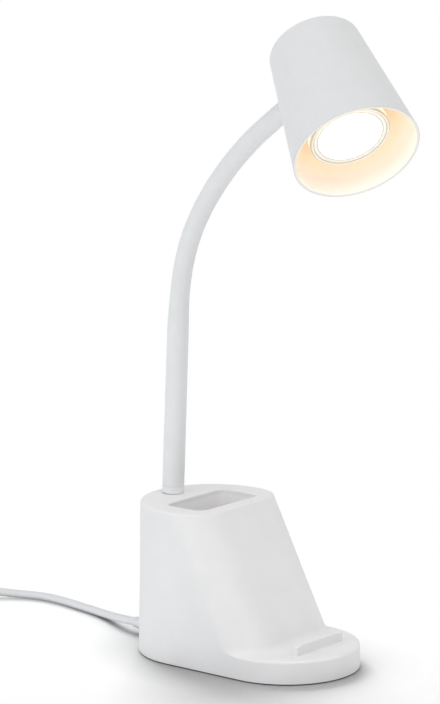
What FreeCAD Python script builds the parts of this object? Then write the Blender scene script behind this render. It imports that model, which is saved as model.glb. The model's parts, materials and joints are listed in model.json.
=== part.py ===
import FreeCAD, Part
import os
from math import atan, cos, degrees, hypot, pi, radians, sin, tan

# Desk lamp on a pen-holder base: a moulded base with a phone tray and a pen pocket, a gooseneck
# arm in a silicone sleeve, a turned conical shade over a GU10 spotlight, and a mains lead with an
# inline rocker switch and a two-pin plug.
# Millimetres. +Z up, the tray in front (-Y). The origin is under the middle of the base, on the desk.

V = FreeCAD.Vector
UP = V(0, 0, 1)
SIDE = V(1, 0, 0)
BACK = V(0, 1, 0)

# ---- base housing -------------------------------------------------------------------------------
base_radius = 47.0  # half the width of the base at its foot
base_straight = 30.0  # half the distance between its two end centres
draft = 0.8  # degrees, all outer sides
foot_gap = 0.8  # the housing's lower edge above the desk
tray_height = 15.5
body_height = 98.6
wall = 2.5
front_foot_y = -39.0  # front face of the body where it would meet the tray
front_top_y = 3.6  # and at the top
corner_radius = 23.7
foot_fillet = 8.0  # hollow fillet between front face and tray
fillet_steps = 12
tray_edge_fillet = 1.8
least_rounding = 0.03  # what the tray's rounding fades to where the body begins
top_edge_fillet = 1.6

# ---- pen pocket and phone ledge -----------------------------------------------------------------
pocket_length = 58.9
pocket_width = 30.5
pocket_corner = 7.0
pocket_y = 29.8
pocket_floor = 22.0
pocket_wall = 1.8
pocket_taper = 1.2  # how much narrower each way at the floor, per side
pocket_mouth_fillet = 1.2
ledge_y = -55.1
ledge_length = 47.7
ledge_width = 4.6
ledge_height = 6.0
ledge_post = 4.5  # plain end posts of the ledge
ledge_recess = 0.8  # the front of the ledge is set back between the posts

# ---- underside ----------------------------------------------------------------------------------
plate_gap = 0.3  # around the bottom plate
plate_bottom = 1.2
plate_thickness = 2.5
foot_ring_inset = 11.5  # from the outer face to the rubber ring that the base stands on
foot_ring_width = 5.0
foot_ring_height = 2.4
foot_ring_bevel = 0.8
thread_gap = 0.03  # radial, between a screw and the hole it is driven into
post_radius = 3.6  # posts that take the bottom plate's screws
post_inset = 6.8  # from the outer face at the foot to the middle of a post
post_angle = 26.5  # degrees off the long axis, seen from the end centres
rear_post_top = 34.0
screw_radius = 1.2
screw_length = 9.0
screw_head_radius = 2.9
screw_head_height = 1.35
ballast_length = 74.0
ballast_side_gap = 8.5  # between the ballast and the side walls
ballast_thickness = 8.0
ballast_y = -13.0
ballast_corner = 9.0
ballast_chamfer = 0.8
ballast_screw_y = 22.0  # either side of the ballast's middle
ballast_screw_radius = 2.0
ballast_head_radius = 3.6
ballast_head_height = 1.6
rib_thickness = 1.6
vent_slots = 9
vent_slot = (2.0, 9.0)
vent_pitch = 5.0
vent_y = 32.0
terminal_size = V(22.0, 15.0, 13.0)
terminal_low = 0.55  # height of its middle bar, as a share of its towers
terminal_pole = 6.6  # from the middle to each tower
terminal_tower = 7.9  # width of a tower
terminal_screw_y = 4.2
terminal_behind = 6.6  # the block stands this far in front of the arm

# ---- arm ----------------------------------------------------------------------------------------
arm_inset = 13.5  # from the back of the top face to the arm
arm_lean = 2.4  # degrees forward from the vertical
nipple_radius = 4.95
nipple_bore = 3.2
fit = 0.08  # radial running clearance of pins and threaded tubes
nipple_play = 0.15  # radial, where a threaded tube only passes through
nut_fit = 0.02  # radial, between a nut or its washer and the thread
collar_radius = 7.15
collar_height = 5.0
collar_gap = 0.3  # a leaning collar rests on its front edge
seat_depth = 9.0  # thickness of the housing under the collar
seat_radius = 9.6
seat_rib_reach = 34.0
seat_rib_depth = 4.0  # how much deeper the ribs reach than the seat
nipple_below = 3.0  # thread showing under the nut
washer_radius = 9.0
washer_thickness = 1.2
nut_flats = 14.0
nut_thickness = 4.0
post_length = 118.0  # from the base to the first joint
link_pitch = 17.0
bends = [3.0, 5.3, 7.3, 8.5, 6.3, 5.2, 4.5, 4.2, 5.3]  # degrees forward at each joint, at rest
end_length = 37.7  # from the last joint to the shade
# outer radius of the sleeve at distances along the arm from the base
sleeve_shape = [(0.0, 7.1), (104.0, 6.9), (134.0, 6.2), (170.0, 6.2), (254.0, 6.35), (300.0, 6.35)]
lamp_lead_radius = 2.1
core_radius = 4.4
core_bore = 2.9
sleeve_gap = 0.05
socket_gap = 0.2  # between the round end of a link and the socket of the next

# ---- shade and lampholder, in their own frame: mouth centre at the origin, closed end up --------
shade_mouth_radius = 39.45
shade_top_radius = 28.6
shade_length = 87.5
shade_wall = 0.8
shade_top_fillet = 3.6
shade_lip_width = 1.6
shade_turn = -22.6  # degrees about the end of the arm
arm_below_top = 23.1  # from the closed end to where the arm's line meets the shade's axis
end_collar_radius = 7.0
end_collar_height = 4.2
saddle_radius = 8.6
saddle_thickness = 2.2  # at its thinnest, outside
inner_saddle_thickness = 1.6
saddle_fit = 0.05  # between a saddle and the shade's wall
turn_gap = 0.15  # at the flat faces that turn on each other
bracket_thickness = 1.2
bracket_width = 17.0
bracket_below = 9.5  # how far its clamped leg reaches below the arm's line
bracket_tip = 8.5  # and its other leg past the shade's axis
bracket_bend = 1.8
bracket_room = 7.4  # between the bracket and the closed end
end_washer_thickness = 1.0
end_washer_radius = 8.0
end_nut_thickness = 3.2
nipple_past = 1.2  # thread showing past the end nut
holder_radius = 14.5
holder_height = 19.0
holder_plate = 3.0
holder_screw_x = 5.2
holder_screw_radius = 1.15
holder_hole_depth = 6.0

# ---- GU10 spotlight, same frame -----------------------------------------------------------------
bulb_length = 47.2  # without its pins
bulb_radius = 25.0
bulb_bezel_height = 5.0
bulb_neck_radius = 13.2
bulb_fins = 20
bulb_lens_radius = 21.6
bulb_lens_depth = 2.4
pin_circle = 5.0
pin_radius = 1.4
pin_head_radius = 2.5
pin_head_height = 2.0
pin_play = 0.3
bulb_turn = 25.0  # degrees to unlock

# ---- mains lead ---------------------------------------------------------------------------------
cord_radius = 2.7
cord_exit_height = 7.0
gland_hole = 4.1
gland_flange = 1.1  # how far its flanges reach past the hole
gland_end_radius = 3.2
lead_points = [
    (0.0, 95.0, 7.0),
    (1.6, 104.0, 6.6),
    (5.0, 113.5, 5.5),
    (9.6, 123.0, 4.1),
    (13.8, 133.5, 3.1),
    (17.0, 145.5, 2.75),
    (20.2, 161.5, 2.75),
    (23.0, 178.0, 2.75),
    (23.6, 191.5, 2.75),
    (21.2, 203.5, 2.75),
    (15.6, 214.5, 3.1),
    (9.4, 224.2, 4.2),
    (3.6, 233.5, 5.0),
]
mid_points = [
    (-27.7, 284.7, 5.0),
    (-32.2, 291.6, 4.2),
    (-36.9, 299.2, 3.2),
    (-41.8, 306.2, 2.75),
    (-48.0, 312.8, 2.75),
]
tail_points = [
    (-95.4, 263.0, 2.75),
    (-91.2, 258.3, 3.0),
    (-86.8, 254.0, 4.2),
    (-82.6, 250.1, 5.9),
    (-78.4, 246.0, 7.0),
]
coil_centre = V(-70.6, 287.7, 0)
coil_mid_radius = 30.0
coil_thickness = 16.3
coil_edge = 5.0

switch_height = 14.6
switch_split = 5.0  # the cord lies in the split between the two halves
split_top = 5.05
switch_foot = 0.1
switch_length = 44.0
switch_width = 24.0
switch_corner = 8.0
switch_edge = 2.2
switch_neck_radius = 4.2
switch_wall = 2.4
switch_screw_x = 15.5
switch_screw_radius = 1.05
switch_screw_head = 2.3
rocker_length = 19.0
rocker_width = 12.0
rocker_tilt = 7.0  # degrees either way; stored switched on
rocker_axis = 10.6
rocker_pin_radius = 1.2
rocker_pin_reach = 1.5  # past the rocker, either side
rocker_play = 0.4

plug_width = 35.3
plug_height = 13.7
plug_length = 36.0
plug_nose = 13.0  # full width as far as here
plug_tail_width = 13.0
plug_edge = 3.4
plug_shoulder = 9.0
plug_relief = 12.0
plug_relief_radius = 4.6
plug_pin_radius = 2.0
plug_pin_length = 19.0
plug_pin_root = 8.0  # inside the plug
plug_pin_spacing = 18.6
plug_sleeve = 10.0  # insulated part of the pins
plug_sleeve_radius = 1.9

# ---- places that follow from the sizes above ----------------------------------------------------
arm_y = base_straight + base_radius - body_height * tan(radians(draft)) - arm_inset
plate_top = plate_bottom + plate_thickness
foot_ring_outside = base_radius - foot_ring_inset
ballast_width = 2 * (base_radius - wall - ballast_side_gap)
terminal_y = arm_y - terminal_behind
front_slope = atan((front_top_y - front_foot_y) / (body_height - tray_height))
front_runout = foot_fillet / tan((pi / 2 + front_slope) / 2)  # reach of the hollow fillet
shade_cone = atan((shade_mouth_radius - shade_top_radius) / shade_length)
arm_entry = shade_length - arm_below_top
bracket_top = shade_length - bracket_room
holder_top = bracket_top - bracket_thickness - 0.05
holder_bottom = holder_top - holder_height
bulb_end = holder_bottom - pin_play
bulb_face = bulb_end - bulb_length


# ---- helpers ------------------------------------------------------------------------------------
def radius_at(z):
    """Half width of the base at height z; the sides lean in by the draft."""
    return base_radius - z * tan(radians(draft))


def front_at(z):
    """Y of the sloping front face at height z."""
    rise = (z - tray_height) / (body_height - tray_height)
    return front_foot_y + (front_top_y - front_foot_y) * rise


def stadium(radius, z, y=0.0, straight=base_straight):
    """Closed wire: two half circles joined by straight sides, long way along Y."""
    back, front = y + straight, y - straight
    right, left = V(radius, 0, z), V(-radius, 0, z)
    return Part.Wire([
        Part.LineSegment(V(radius, front, z), V(radius, back, z)).toShape(),
        Part.Arc(V(radius, back, z), V(0, back + radius, z), V(-radius, back, z)).toShape(),
        Part.LineSegment(V(-radius, back, z), V(-radius, front, z)).toShape(),
        Part.Arc(V(-radius, front, z), V(0, front - radius, z), V(radius, front, z)).toShape(),
    ])


def dee(radius, front, corner, z):
    """Closed wire: half circle behind, straight sides, straight front with round corners."""
    back = base_straight
    bend = corner * cos(pi / 4)
    inner = radius - corner
    turn = front + corner
    return Part.Wire([
        Part.Arc(V(radius, back, z), V(0, back + radius, z), V(-radius, back, z)).toShape(),
        Part.LineSegment(V(-radius, back, z), V(-radius, turn, z)).toShape(),
        Part.Arc(V(-radius, turn, z), V(-inner - bend, turn - bend, z), V(-inner, front, z)).toShape(),
        Part.LineSegment(V(-inner, front, z), V(inner, front, z)).toShape(),
        Part.Arc(V(inner, front, z), V(inner + bend, turn - bend, z), V(radius, turn, z)).toShape(),
        Part.LineSegment(V(radius, turn, z), V(radius, back, z)).toShape(),
    ])


def rounded(length, width, corner, centre):
    """Closed wire: rounded rectangle, length along X, width along Y."""
    x, y, z = length / 2, width / 2, centre.z
    bend = corner * (1 - cos(pi / 4))
    edges = []
    for sx, sy in ((1, 1), (-1, 1), (-1, -1), (1, -1)):
        a = V(sx * x, sy * (y - corner), 0)
        b = V(sx * (x - bend), sy * (y - bend), 0)
        c = V(sx * (x - corner), sy * y, 0)
        if sx * sy < 0:
            a, c = c, a
        edges.append((a, b, c))
    offset = V(centre.x, centre.y, z)
    wire = []
    for i, (a, b, c) in enumerate(edges):
        start = edges[(i + 1) % 4][0]
        wire.append(Part.Arc(a + offset, b + offset, c + offset).toShape())
        wire.append(Part.LineSegment(c + offset, start + offset).toShape())
    return Part.Wire(wire)


def loft(*wires):
    """Solid between closed wires, straight from one to the next."""
    return Part.makeLoft(list(wires), True, True)


def prism(wire, height):
    return Part.Face(wire).extrude(V(0, 0, height))


def cylinder(radius, height, base=V(0, 0, 0), axis=UP):
    return Part.makeCylinder(radius, height, base, axis)


def cone(low, high, height, base=V(0, 0, 0), axis=UP):
    if abs(low - high) < 1e-6:
        return cylinder(low, height, base, axis)
    return Part.makeCone(low, high, height, base, axis)


def turned(profile):
    """Solid of revolution about Z of a closed (radius, height) outline."""
    points = [V(r, 0, z) for r, z in profile]
    outline = Part.makePolygon(points + points[:1])
    return Part.Face(outline).revolve(V(0, 0, 0), UP, 360)


def edges_where(shape, test):
    """Edges whose middle point and box pass the test."""
    return [e for e in shape.Edges if test(e.CenterOfMass, e.BoundBox)]


def hexagon_nut(height):
    """Hexagonal nut for the arm's threaded tubes, its corners turned off at both ends."""
    r = nut_flats / 2 / cos(pi / 6)
    points = [V(r * cos(i * pi / 3), r * sin(i * pi / 3), 0) for i in range(7)]
    nut = Part.Face(Part.makePolygon(points)).extrude(V(0, 0, height))
    chamfer = 0.6
    flat = nut_flats / 2
    envelope = turned([(0, 0), (flat, 0), (r, chamfer), (r, height - chamfer), (flat, height), (0, height)])
    return nut.common(envelope).cut(cylinder(nipple_radius + nut_fit, height))


def route(points):
    """Wire through a cord's route: straight runs joined by tangent arcs."""
    points = [V(*p) for p in points]
    edges, start, radii = [], points[0], []
    for before, corner, after in zip(points, points[1:], points[2:]):
        into, out = corner - before, after - corner
        shorter = min(into.Length, out.Length)
        turn = into.getAngle(out)
        cut = 0.45 * shorter
        radii.append(cut / tan(turn / 2))
        a = corner - into.normalize() * cut
        b = corner + out.normalize() * cut
        inward = (a + b) * 0.5 - corner
        middle = corner + inward.normalize() * (radii[-1] / cos(turn / 2) - radii[-1])
        edges.append(Part.LineSegment(start, a).toShape())
        edges.append(Part.Arc(a, middle, b).toShape())
        start = b
    edges.append(Part.LineSegment(start, points[-1]).toShape())
    print("cord radii", [round(r) for r in radii])
    return Part.Wire(edges)


def cord(points):
    """Round cord along its route."""
    path = route(points)
    first = V(*points[1]) - V(*points[0])
    ring = Part.Wire([Part.makeCircle(cord_radius, V(*points[0]), first)])
    tube = path.makePipeShell([ring], True, False)
    print("cord volume against section times length", tube.Volume / (pi * cord_radius**2 * path.Length))
    return tube


# ---- base ---------------------------------------------------------------------------------------
def body_outside():
    """The upright body in one loft: its front rises out of the tray in a hollow fillet, then straight."""
    centre_y, centre_z = front_foot_y - front_runout, tray_height + foot_fillet
    sweep = pi / 2 - front_slope
    places = []
    for i in range(fillet_steps + 1):
        angle = sweep * i / fillet_steps - pi / 2
        places.append((centre_y + foot_fillet * cos(angle), centre_z + foot_fillet * sin(angle)))
    places.append((front_top_y, body_height))
    body = loft(*[dee(radius_at(z), y, corner_radius, z) for y, z in places])
    rim = edges_where(body, lambda c, b: b.ZMin > body_height - 0.01)
    return body.makeFillet(top_edge_fillet, rim)


def edge_profile(size, place):
    """Outline, in XZ, of the corner that a rounding of this size takes off the tray's edge."""
    low = tray_height - size
    top = V(radius_at(tray_height) - size, 0, tray_height) + place
    side = V(radius_at(low), 0, low) + place
    middle = V(top.x + size * sin(pi / 4), place.y, low + size * cos(pi / 4))
    out = base_radius + 1
    corners = [side, V(out, place.y, low), V(out, place.y, tray_height + 1)]
    corners += [V(top.x, place.y, tray_height + 1), top]
    edges = [Part.Arc(top, middle, side).toShape()]
    edges += [Part.LineSegment(a, b).toShape() for a, b in zip(corners, corners[1:])]
    return Part.Wire(edges)


def tray_rounding():
    """What comes off the tray's edge: full round in front, fading out where the body begins."""
    front = V(0, -base_straight, 0)
    fade_end = V(0, front_foot_y - front_runout + corner_radius, 0)
    ahead = Part.Face(edge_profile(tray_edge_fillet, front)).revolve(front, UP, -180)
    fade = loft(edge_profile(tray_edge_fillet, front), edge_profile(least_rounding, fade_end))
    return [ahead, fade, fade.mirror(V(0, 0, 0), SIDE)]


def base_outside():
    """Outer form of the housing, with all its outside edges rounded."""
    foot = loft(
        stadium(radius_at(foot_gap), foot_gap),
        stadium(radius_at(tray_height), tray_height),
    )
    return foot.fuse(body_outside()).cut(tray_rounding())


def base_inside():
    """The hollow of the housing, open at the bottom."""
    ceiling = tray_height - wall
    low = loft(
        stadium(radius_at(0) - wall, 0),
        stadium(radius_at(ceiling) - wall, ceiling),
    )
    slope_wall = wall / cos(front_slope)
    high = loft(*[
        dee(radius_at(z) - wall, front_at(z) + slope_wall, corner_radius - wall, z)
        for z in (ceiling - 1, body_height - wall)
    ])
    return low.fuse(high)


def pocket_form(grow, bottom, top):
    """The tapered pen pocket, or its outer skin when grown."""
    wires = []
    for z in (bottom, top):
        narrow = pocket_taper * (body_height - z) / (body_height - pocket_floor)
        centre = V(0, pocket_y, z)
        length = pocket_length + 2 * (grow - narrow)
        width = pocket_width + 2 * (grow - narrow)
        wires.append(rounded(length, width, pocket_corner + grow, centre))
    return loft(*wires)


def ledge():
    """The stop that a phone stands behind: a low ridge, its front set back between two posts."""
    foot = V(0, ledge_y, tray_height - 0.5)
    ridge = prism(rounded(ledge_length, ledge_width, 1.6, foot), ledge_height + 0.5)
    top = edges_where(ridge, lambda c, b: b.ZMin > tray_height + ledge_height - 0.01)
    ridge = ridge.makeFillet(0.9, top)
    span = ledge_length - 2 * ledge_post
    front = ledge_y - ledge_width / 2
    recess = prism(
        rounded(span, 2 * ledge_recess, 0.7, V(0, front, tray_height + 0.6)), ledge_height
    )
    return ridge.cut(recess)


def on_arm(shape, distance, angle=arm_lean, start=None):
    """Place a shape made along Z at a distance along a straight stretch of the arm."""
    start = start or V(0, arm_y, body_height)
    turn = FreeCAD.Rotation(SIDE, angle)
    place = FreeCAD.Placement(start + turn.multVec(V(0, 0, distance)), turn)
    shape = shape.copy()
    shape.Placement = place.multiply(shape.Placement)
    return shape


def around_ends(inset, angle):
    """Four places, one to each end and side, this far in from the outer face at the foot."""
    ring = base_radius - inset
    x, y = ring * sin(radians(angle)), ring * cos(radians(angle))
    return [V(u * x, v * (base_straight + y), 0) for u in (-1, 1) for v in (-1, 1)]


def post_places():
    """Centres of the four posts that take the bottom plate's screws."""
    return around_ends(post_inset, post_angle)


def screw_posts():
    """Screw posts under the tray and up the back wall, each with a web out to the wall."""
    posts = []
    for place in post_places():
        top = tray_height - wall / 2 if place.y < 0 else rear_post_top
        posts.append(cylinder(post_radius, top - plate_top, place + V(0, 0, plate_top)))
        web = Part.makeBox(
            post_inset - wall / 2, rib_thickness, top - plate_top - wall, V(0, -rib_thickness / 2, 0)
        )
        toward = post_angle if place.y * place.x < 0 else -post_angle
        web.rotate(V(0, 0, 0), UP, toward + (90 if place.y > 0 else -90))
        posts.append(web.translated(place + V(0, 0, plate_top + wall)))
    return posts


def arm_seat():
    """Thick round seat under the top face, square to the leaning arm, and its four ribs."""
    forms = [on_arm(cylinder(seat_radius, seat_depth - 0.6), -seat_depth)]
    height = seat_depth + seat_rib_depth - wall / 2
    for turn in range(0, 360, 90):
        rib = Part.makeBox(seat_rib_reach, rib_thickness, height, V(0, -rib_thickness / 2, 0))
        rib.rotate(V(0, 0, 0), UP, turn)
        forms.append(rib.translated(V(0, arm_y, body_height - seat_depth - seat_rib_depth)))
    return forms


def pocket_edges(shape):
    """Edges of the top face that lie round the pocket's mouth."""
    x, y = pocket_length / 2 + 1, pocket_width / 2 + 1
    return edges_where(
        shape,
        lambda c, b: b.ZMin > body_height - 0.01
        and b.YMin > pocket_y - y
        and b.YMax < pocket_y + y
        and abs(c.x) < x,
    )


def base_housing():
    """One moulding: tray, sloping front, pen pocket, phone ledge, screw posts and the arm's seat."""
    outside = base_outside()
    shell = outside.cut(base_inside())
    skin = pocket_form(pocket_wall, pocket_floor - pocket_wall, body_height - 1)
    inner = skin.fuse(screw_posts() + arm_seat()).common(outside)
    housing = shell.fuse([inner, ledge()])
    housing = housing.cut(pocket_form(0, pocket_floor, body_height + 0.5))
    housing = housing.makeFillet(pocket_mouth_fillet, pocket_edges(housing))
    bore = 2 * (seat_depth + seat_rib_depth)
    holes = [
        on_arm(cylinder(nipple_radius + nipple_play, bore), -bore / 2),
        on_arm(cylinder(washer_radius + nipple_play, bore / 2), -seat_depth - bore / 2),
    ]
    for place in post_places():
        holes.append(cylinder(screw_radius + thread_gap, screw_length, place + V(0, 0, plate_top - 1)))
    back = V(0, base_straight + base_radius - 2 * wall, cord_exit_height)
    holes.append(cylinder(gland_hole, 4 * wall, back, BACK))
    return housing.cut(holes)


def base_plate():
    """Flat bottom plate, grooved for the rubber ring, slotted for air and notched at the gland."""
    plate = prism(stadium(base_radius - wall - plate_gap, plate_bottom), plate_thickness)
    groove = foot_ring_height - plate_bottom
    cuts = [
        prism(stadium(foot_ring_outside + 0.1, plate_bottom), groove).cut(
            prism(stadium(foot_ring_outside - foot_ring_width - 0.1, plate_bottom), groove)
        )
    ]
    for place in post_places():
        low = place + V(0, 0, plate_bottom)
        cuts.append(cylinder(screw_radius + 0.3, plate_thickness, low))
        cuts.append(cylinder(screw_head_radius + 0.3, screw_head_height + 0.05, low))
    for place in ballast_screw_places():
        low = place + V(0, 0, plate_bottom)
        cuts.append(cylinder(ballast_screw_radius + 0.2, plate_thickness, low))
        cuts.append(cone(ballast_head_radius + 0.3, ballast_screw_radius + 0.2, 1.7, low))
    for i in range(vent_slots):
        length, width = vent_slot
        centre = V(vent_pitch * (i - (vent_slots - 1) / 2), vent_y, plate_bottom)
        cuts.append(prism(rounded(length, width, 0.48 * length, centre), plate_thickness))
    notch = V(0, base_straight + base_radius - 3 * wall, cord_exit_height)
    cuts.append(cylinder(gland_hole + gland_flange + plate_gap, 3 * wall, notch, BACK))
    return plate.cut(cuts)


def ballast_screw_places():
    return [V(0, ballast_y + d, 0) for d in (-ballast_screw_y, ballast_screw_y)]


def rubber_foot():
    """One moulded rubber ring, let into a groove of the bottom plate, its lower edges bevelled."""
    outside, inside = foot_ring_outside, foot_ring_outside - foot_ring_width
    bevel = foot_ring_bevel
    ring = prism(stadium(outside, bevel), foot_ring_height - bevel)
    ring = ring.fuse(loft(stadium(outside - bevel, 0), stadium(outside, bevel)))
    hollow = prism(stadium(inside, bevel - 0.1), foot_ring_height)
    hollow = hollow.fuse(loft(stadium(inside + bevel, 0), stadium(inside, bevel)))
    return ring.cut(hollow)


def screw(shank, length, head, head_height):
    """Pan-head screw, head down, with a cross recess."""
    slot = 0.7
    body = cylinder(shank, length, V(0, 0, head_height - 0.01))
    cap = turned([
        (0, 0), (0.7 * head, 0), (head, 0.5 * head_height), (head, head_height), (0, head_height),
    ])
    cross = [
        Part.makeBox(head, slot, slot, V(-head / 2, -slot / 2, -0.01)),
        Part.makeBox(slot, head, slot, V(-slot / 2, -head / 2, -0.01)),
    ]
    return body.fuse(cap).cut(cross)


def base_screws():
    """Screws that hold the bottom plate to the housing's posts."""
    item = screw(screw_radius, screw_length - 1.5, screw_head_radius, screw_head_height)
    return Part.makeCompound([item.translated(p + V(0, 0, plate_bottom)) for p in post_places()])


def ballast_weight():
    """Steel block that keeps the lamp from tipping."""
    outline = rounded(ballast_width, ballast_length, ballast_corner, V(0, ballast_y, plate_top))
    block = prism(outline, ballast_thickness)
    top = plate_top + ballast_thickness
    block = block.makeChamfer(ballast_chamfer, edges_where(block, lambda c, b: b.ZMin > top - 0.01))
    holes = [
        cylinder(ballast_screw_radius + thread_gap, 2 * ballast_thickness, place)
        for place in ballast_screw_places()
    ]
    return block.cut(holes)


def ballast_screws():
    """Countersunk screws up through the plate into the ballast."""
    screws = []
    for place in ballast_screw_places():
        low = place + V(0, 0, plate_bottom + 0.05)
        head = cone(ballast_head_radius, ballast_screw_radius, ballast_head_height, low)
        shank = cylinder(ballast_screw_radius, 8.5, low + V(0, 0, ballast_head_height - 0.01))
        screws.append(head.fuse(shank))
    return Part.makeCompound(screws)


def terminal_screw_places():
    return [
        V(side * terminal_pole, terminal_y + end * terminal_screw_y, plate_top + terminal_size.z - 4)
        for side in (-1, 1)
        for end in (-1, 1)
    ]


def terminal_block():
    """Two-pole screw terminal that joins the mains lead to the lamp's own lead."""
    x, y, z = terminal_size
    block = Part.makeBox(x, y, z * terminal_low, V(-x / 2, terminal_y - y / 2, plate_top))
    for side in (-1, 1):
        outline = rounded(terminal_tower, y, 2.0, V(side * terminal_pole, terminal_y, plate_top))
        block = block.fuse(prism(outline, z))
    return block.cut([cylinder(1.6, 5, place) for place in terminal_screw_places()])


def terminal_screws():
    return Part.makeCompound([cylinder(1.5, 2.6, place) for place in terminal_screw_places()])


def cord_gland():
    """Bushing in the back wall, with a tapered tail that the lead comes out of."""
    outside = base_radius + base_straight
    inside = outside - wall
    end = lead_points[0][1]
    neck, flange = gland_hole - 0.1, gland_hole + gland_flange
    profile = [
        (0, inside - 3.0), (flange, inside - 3.0), (flange, inside - 0.6),
        (neck, inside - 0.6), (neck, outside + 0.5), (flange - 0.2, outside + 0.5),
        (flange - 0.2, outside + 2.0), (neck + 0.3, outside + 2.6),
        (gland_end_radius + 0.35, end - 6), (gland_end_radius, end), (0, end),
    ]
    body = turned(profile)
    body.Placement = FreeCAD.Placement(V(0, 0, cord_exit_height), FreeCAD.Rotation(SIDE, -90))
    return body


def mains_stub():
    """The lead inside the base, from the bushing to the terminal."""
    start = base_radius + base_straight - wall - 3.0
    end = terminal_y + terminal_size.y / 2
    return cylinder(cord_radius, start - end, V(0, end, cord_exit_height), BACK)


# ---- arm ----------------------------------------------------------------------------------------
def arm_base_fitting():
    """Threaded tube through the top of the base, its collar, and a spigot for the arm's core."""
    bottom = -seat_depth - washer_thickness - nut_thickness - nipple_below
    profile = [
        (nipple_bore, bottom), (nipple_radius, bottom), (nipple_radius, collar_gap),
        (collar_radius - 0.5, collar_gap), (collar_radius, collar_gap + 0.5),
        (collar_radius, collar_gap + collar_height - 0.7), (collar_radius - 0.5, collar_gap + collar_height),
        (core_radius, collar_gap + collar_height), (nipple_bore, collar_gap + collar_height),
    ]
    return on_arm(turned(profile), 0)


def arm_washer():
    ring = cylinder(washer_radius, washer_thickness).cut(cylinder(nipple_radius + fit, washer_thickness))
    return on_arm(ring, -seat_depth - washer_thickness)


def arm_nut():
    nut = hexagon_nut(nut_thickness)
    return on_arm(nut, -seat_depth - washer_thickness - nut_thickness)


def lamp_lead():
    """The lamp's own lead, from the terminal up into the arm's threaded tube."""
    turn = FreeCAD.Rotation(SIDE, arm_lean)
    depth = seat_depth + washer_thickness + nut_thickness + 1
    top = V(0, arm_y, body_height) + turn.multVec(V(0, 0, -depth))
    on_bar = plate_top + terminal_size.z * terminal_low + 0.1
    bottom = V(0, terminal_y + terminal_size.y / 2 - 1.5 * lamp_lead_radius, on_bar)
    return cylinder(lamp_lead_radius, (top - bottom).Length, bottom, top - bottom)


def sleeve_radius(distance):
    """Outer radius of the sleeve at a distance along the arm."""
    for (a, ra), (b, rb) in zip(sleeve_shape, sleeve_shape[1:]):
        if distance <= b:
            return ra + (rb - ra) * (distance - a) / (b - a)
    return sleeve_shape[-1][1]


def arm_line():
    """Start point, direction angle and length of the post and of each link; last is the end piece."""
    turn = FreeCAD.Rotation(SIDE, arm_lean)
    point, angle = V(0, arm_y, body_height), arm_lean
    pieces = [(point, angle, post_length)]
    for i, bend in enumerate(bends):
        point = point + turn.multVec(V(0, 0, pieces[-1][2]))
        angle += bend
        turn = FreeCAD.Rotation(SIDE, angle)
        length = end_length if i == len(bends) - 1 else link_pitch
        pieces.append((point, angle, length))
    return pieces


def link_blank(index):
    """Solid form of one rigid length of arm, along Z from its joint: socket below, ball above."""
    pieces = arm_line()
    length = pieces[index][2]
    along = sum(p[2] for p in pieces[:index])
    first, last = index == 0, index == len(pieces) - 1
    start = collar_gap + collar_height if first else 0
    stop = length - end_collar_height - saddle_thickness if last else length
    inner = [distance - along for distance, radius in sleeve_shape]
    breaks = [start] + [z for z in inner if start < z < stop] + [stop]
    outline = [(sleeve_radius(along + z), z) for z in breaks]
    blank = turned([(0, start)] + outline + [(0, stop)])
    if not last:
        ball = Part.makeSphere(outline[-1][0], V(0, 0, stop))
        blank = blank.fuse(ball.common(cylinder(2 * collar_radius, 2 * collar_radius, V(0, 0, stop))))
    if not first:
        blank = blank.cut(Part.makeSphere(outline[0][0] + socket_gap, V(0, 0, 0)))
    return blank


def arm_core(index):
    """Steel gooseneck inside the sleeve, hollow for the lead."""
    point, angle, length = arm_line()[index]
    low, span = V(0, 0, -length), 3 * length
    core = link_blank(index).common(cylinder(core_radius, span, low)).cut(cylinder(core_bore, span, low))
    return on_arm(core, 0, angle, point)


def arm_sleeve(index):
    """Silicone sleeve over one length of gooseneck."""
    point, angle, length = arm_line()[index]
    bore = cylinder(core_radius + sleeve_gap, 3 * length, V(0, 0, -length))
    return on_arm(link_blank(index).cut(bore), 0, angle, point)


# ---- shade --------------------------------------------------------------------------------------
def entry_frame():
    """Where the arm ends on the shade, and the direction it points in."""
    point, angle, length = arm_line()[-1]
    turn = FreeCAD.Rotation(SIDE, angle)
    return point + turn.multVec(V(0, 0, length)), turn.multVec(UP), angle


def entry_depth():
    """From the outside of the shade to its axis, along the arm's line."""
    return (shade_mouth_radius - arm_entry * tan(shade_cone)) * cos(shade_cone)


def shade_placement():
    """The shade's own frame: mouth centre at the origin, closed end up, arm coming in from +Y."""
    point, along, angle = entry_frame()
    square = FreeCAD.Rotation(SIDE, angle - 90 - degrees(shade_cone))
    turn = FreeCAD.Rotation(along, shade_turn).multiply(square)
    centre = point + along * entry_depth()
    return FreeCAD.Placement(centre - turn.multVec(V(0, 0, arm_entry)), turn)


def in_shade(shape):
    shape = shape.copy()
    shape.Placement = shade_placement().multiply(shape.Placement)
    return shape


def entry_cylinder(radius, outside, inside):
    """In the shade's frame, a cylinder on the arm's line, from outside the wall to inside it."""
    along = V(0, -cos(shade_cone), -sin(shade_cone))
    wall_point = V(0, 0, arm_entry) - along * entry_depth()
    return cylinder(radius, outside + inside, wall_point - along * outside, along)


def shade_form(inset, fillet):
    """The closed, round-cornered cone of the shade, or its inside."""
    slope = inset / cos(shade_cone)
    top = shade_length - inset
    low = shade_mouth_radius - slope
    high = shade_mouth_radius - slope - top * tan(shade_cone)
    form = cone(low, high, top)
    edge = edges_where(form, lambda c, b: b.ZMin > top - 0.01)
    return form.makeFillet(fillet, edge)


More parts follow.
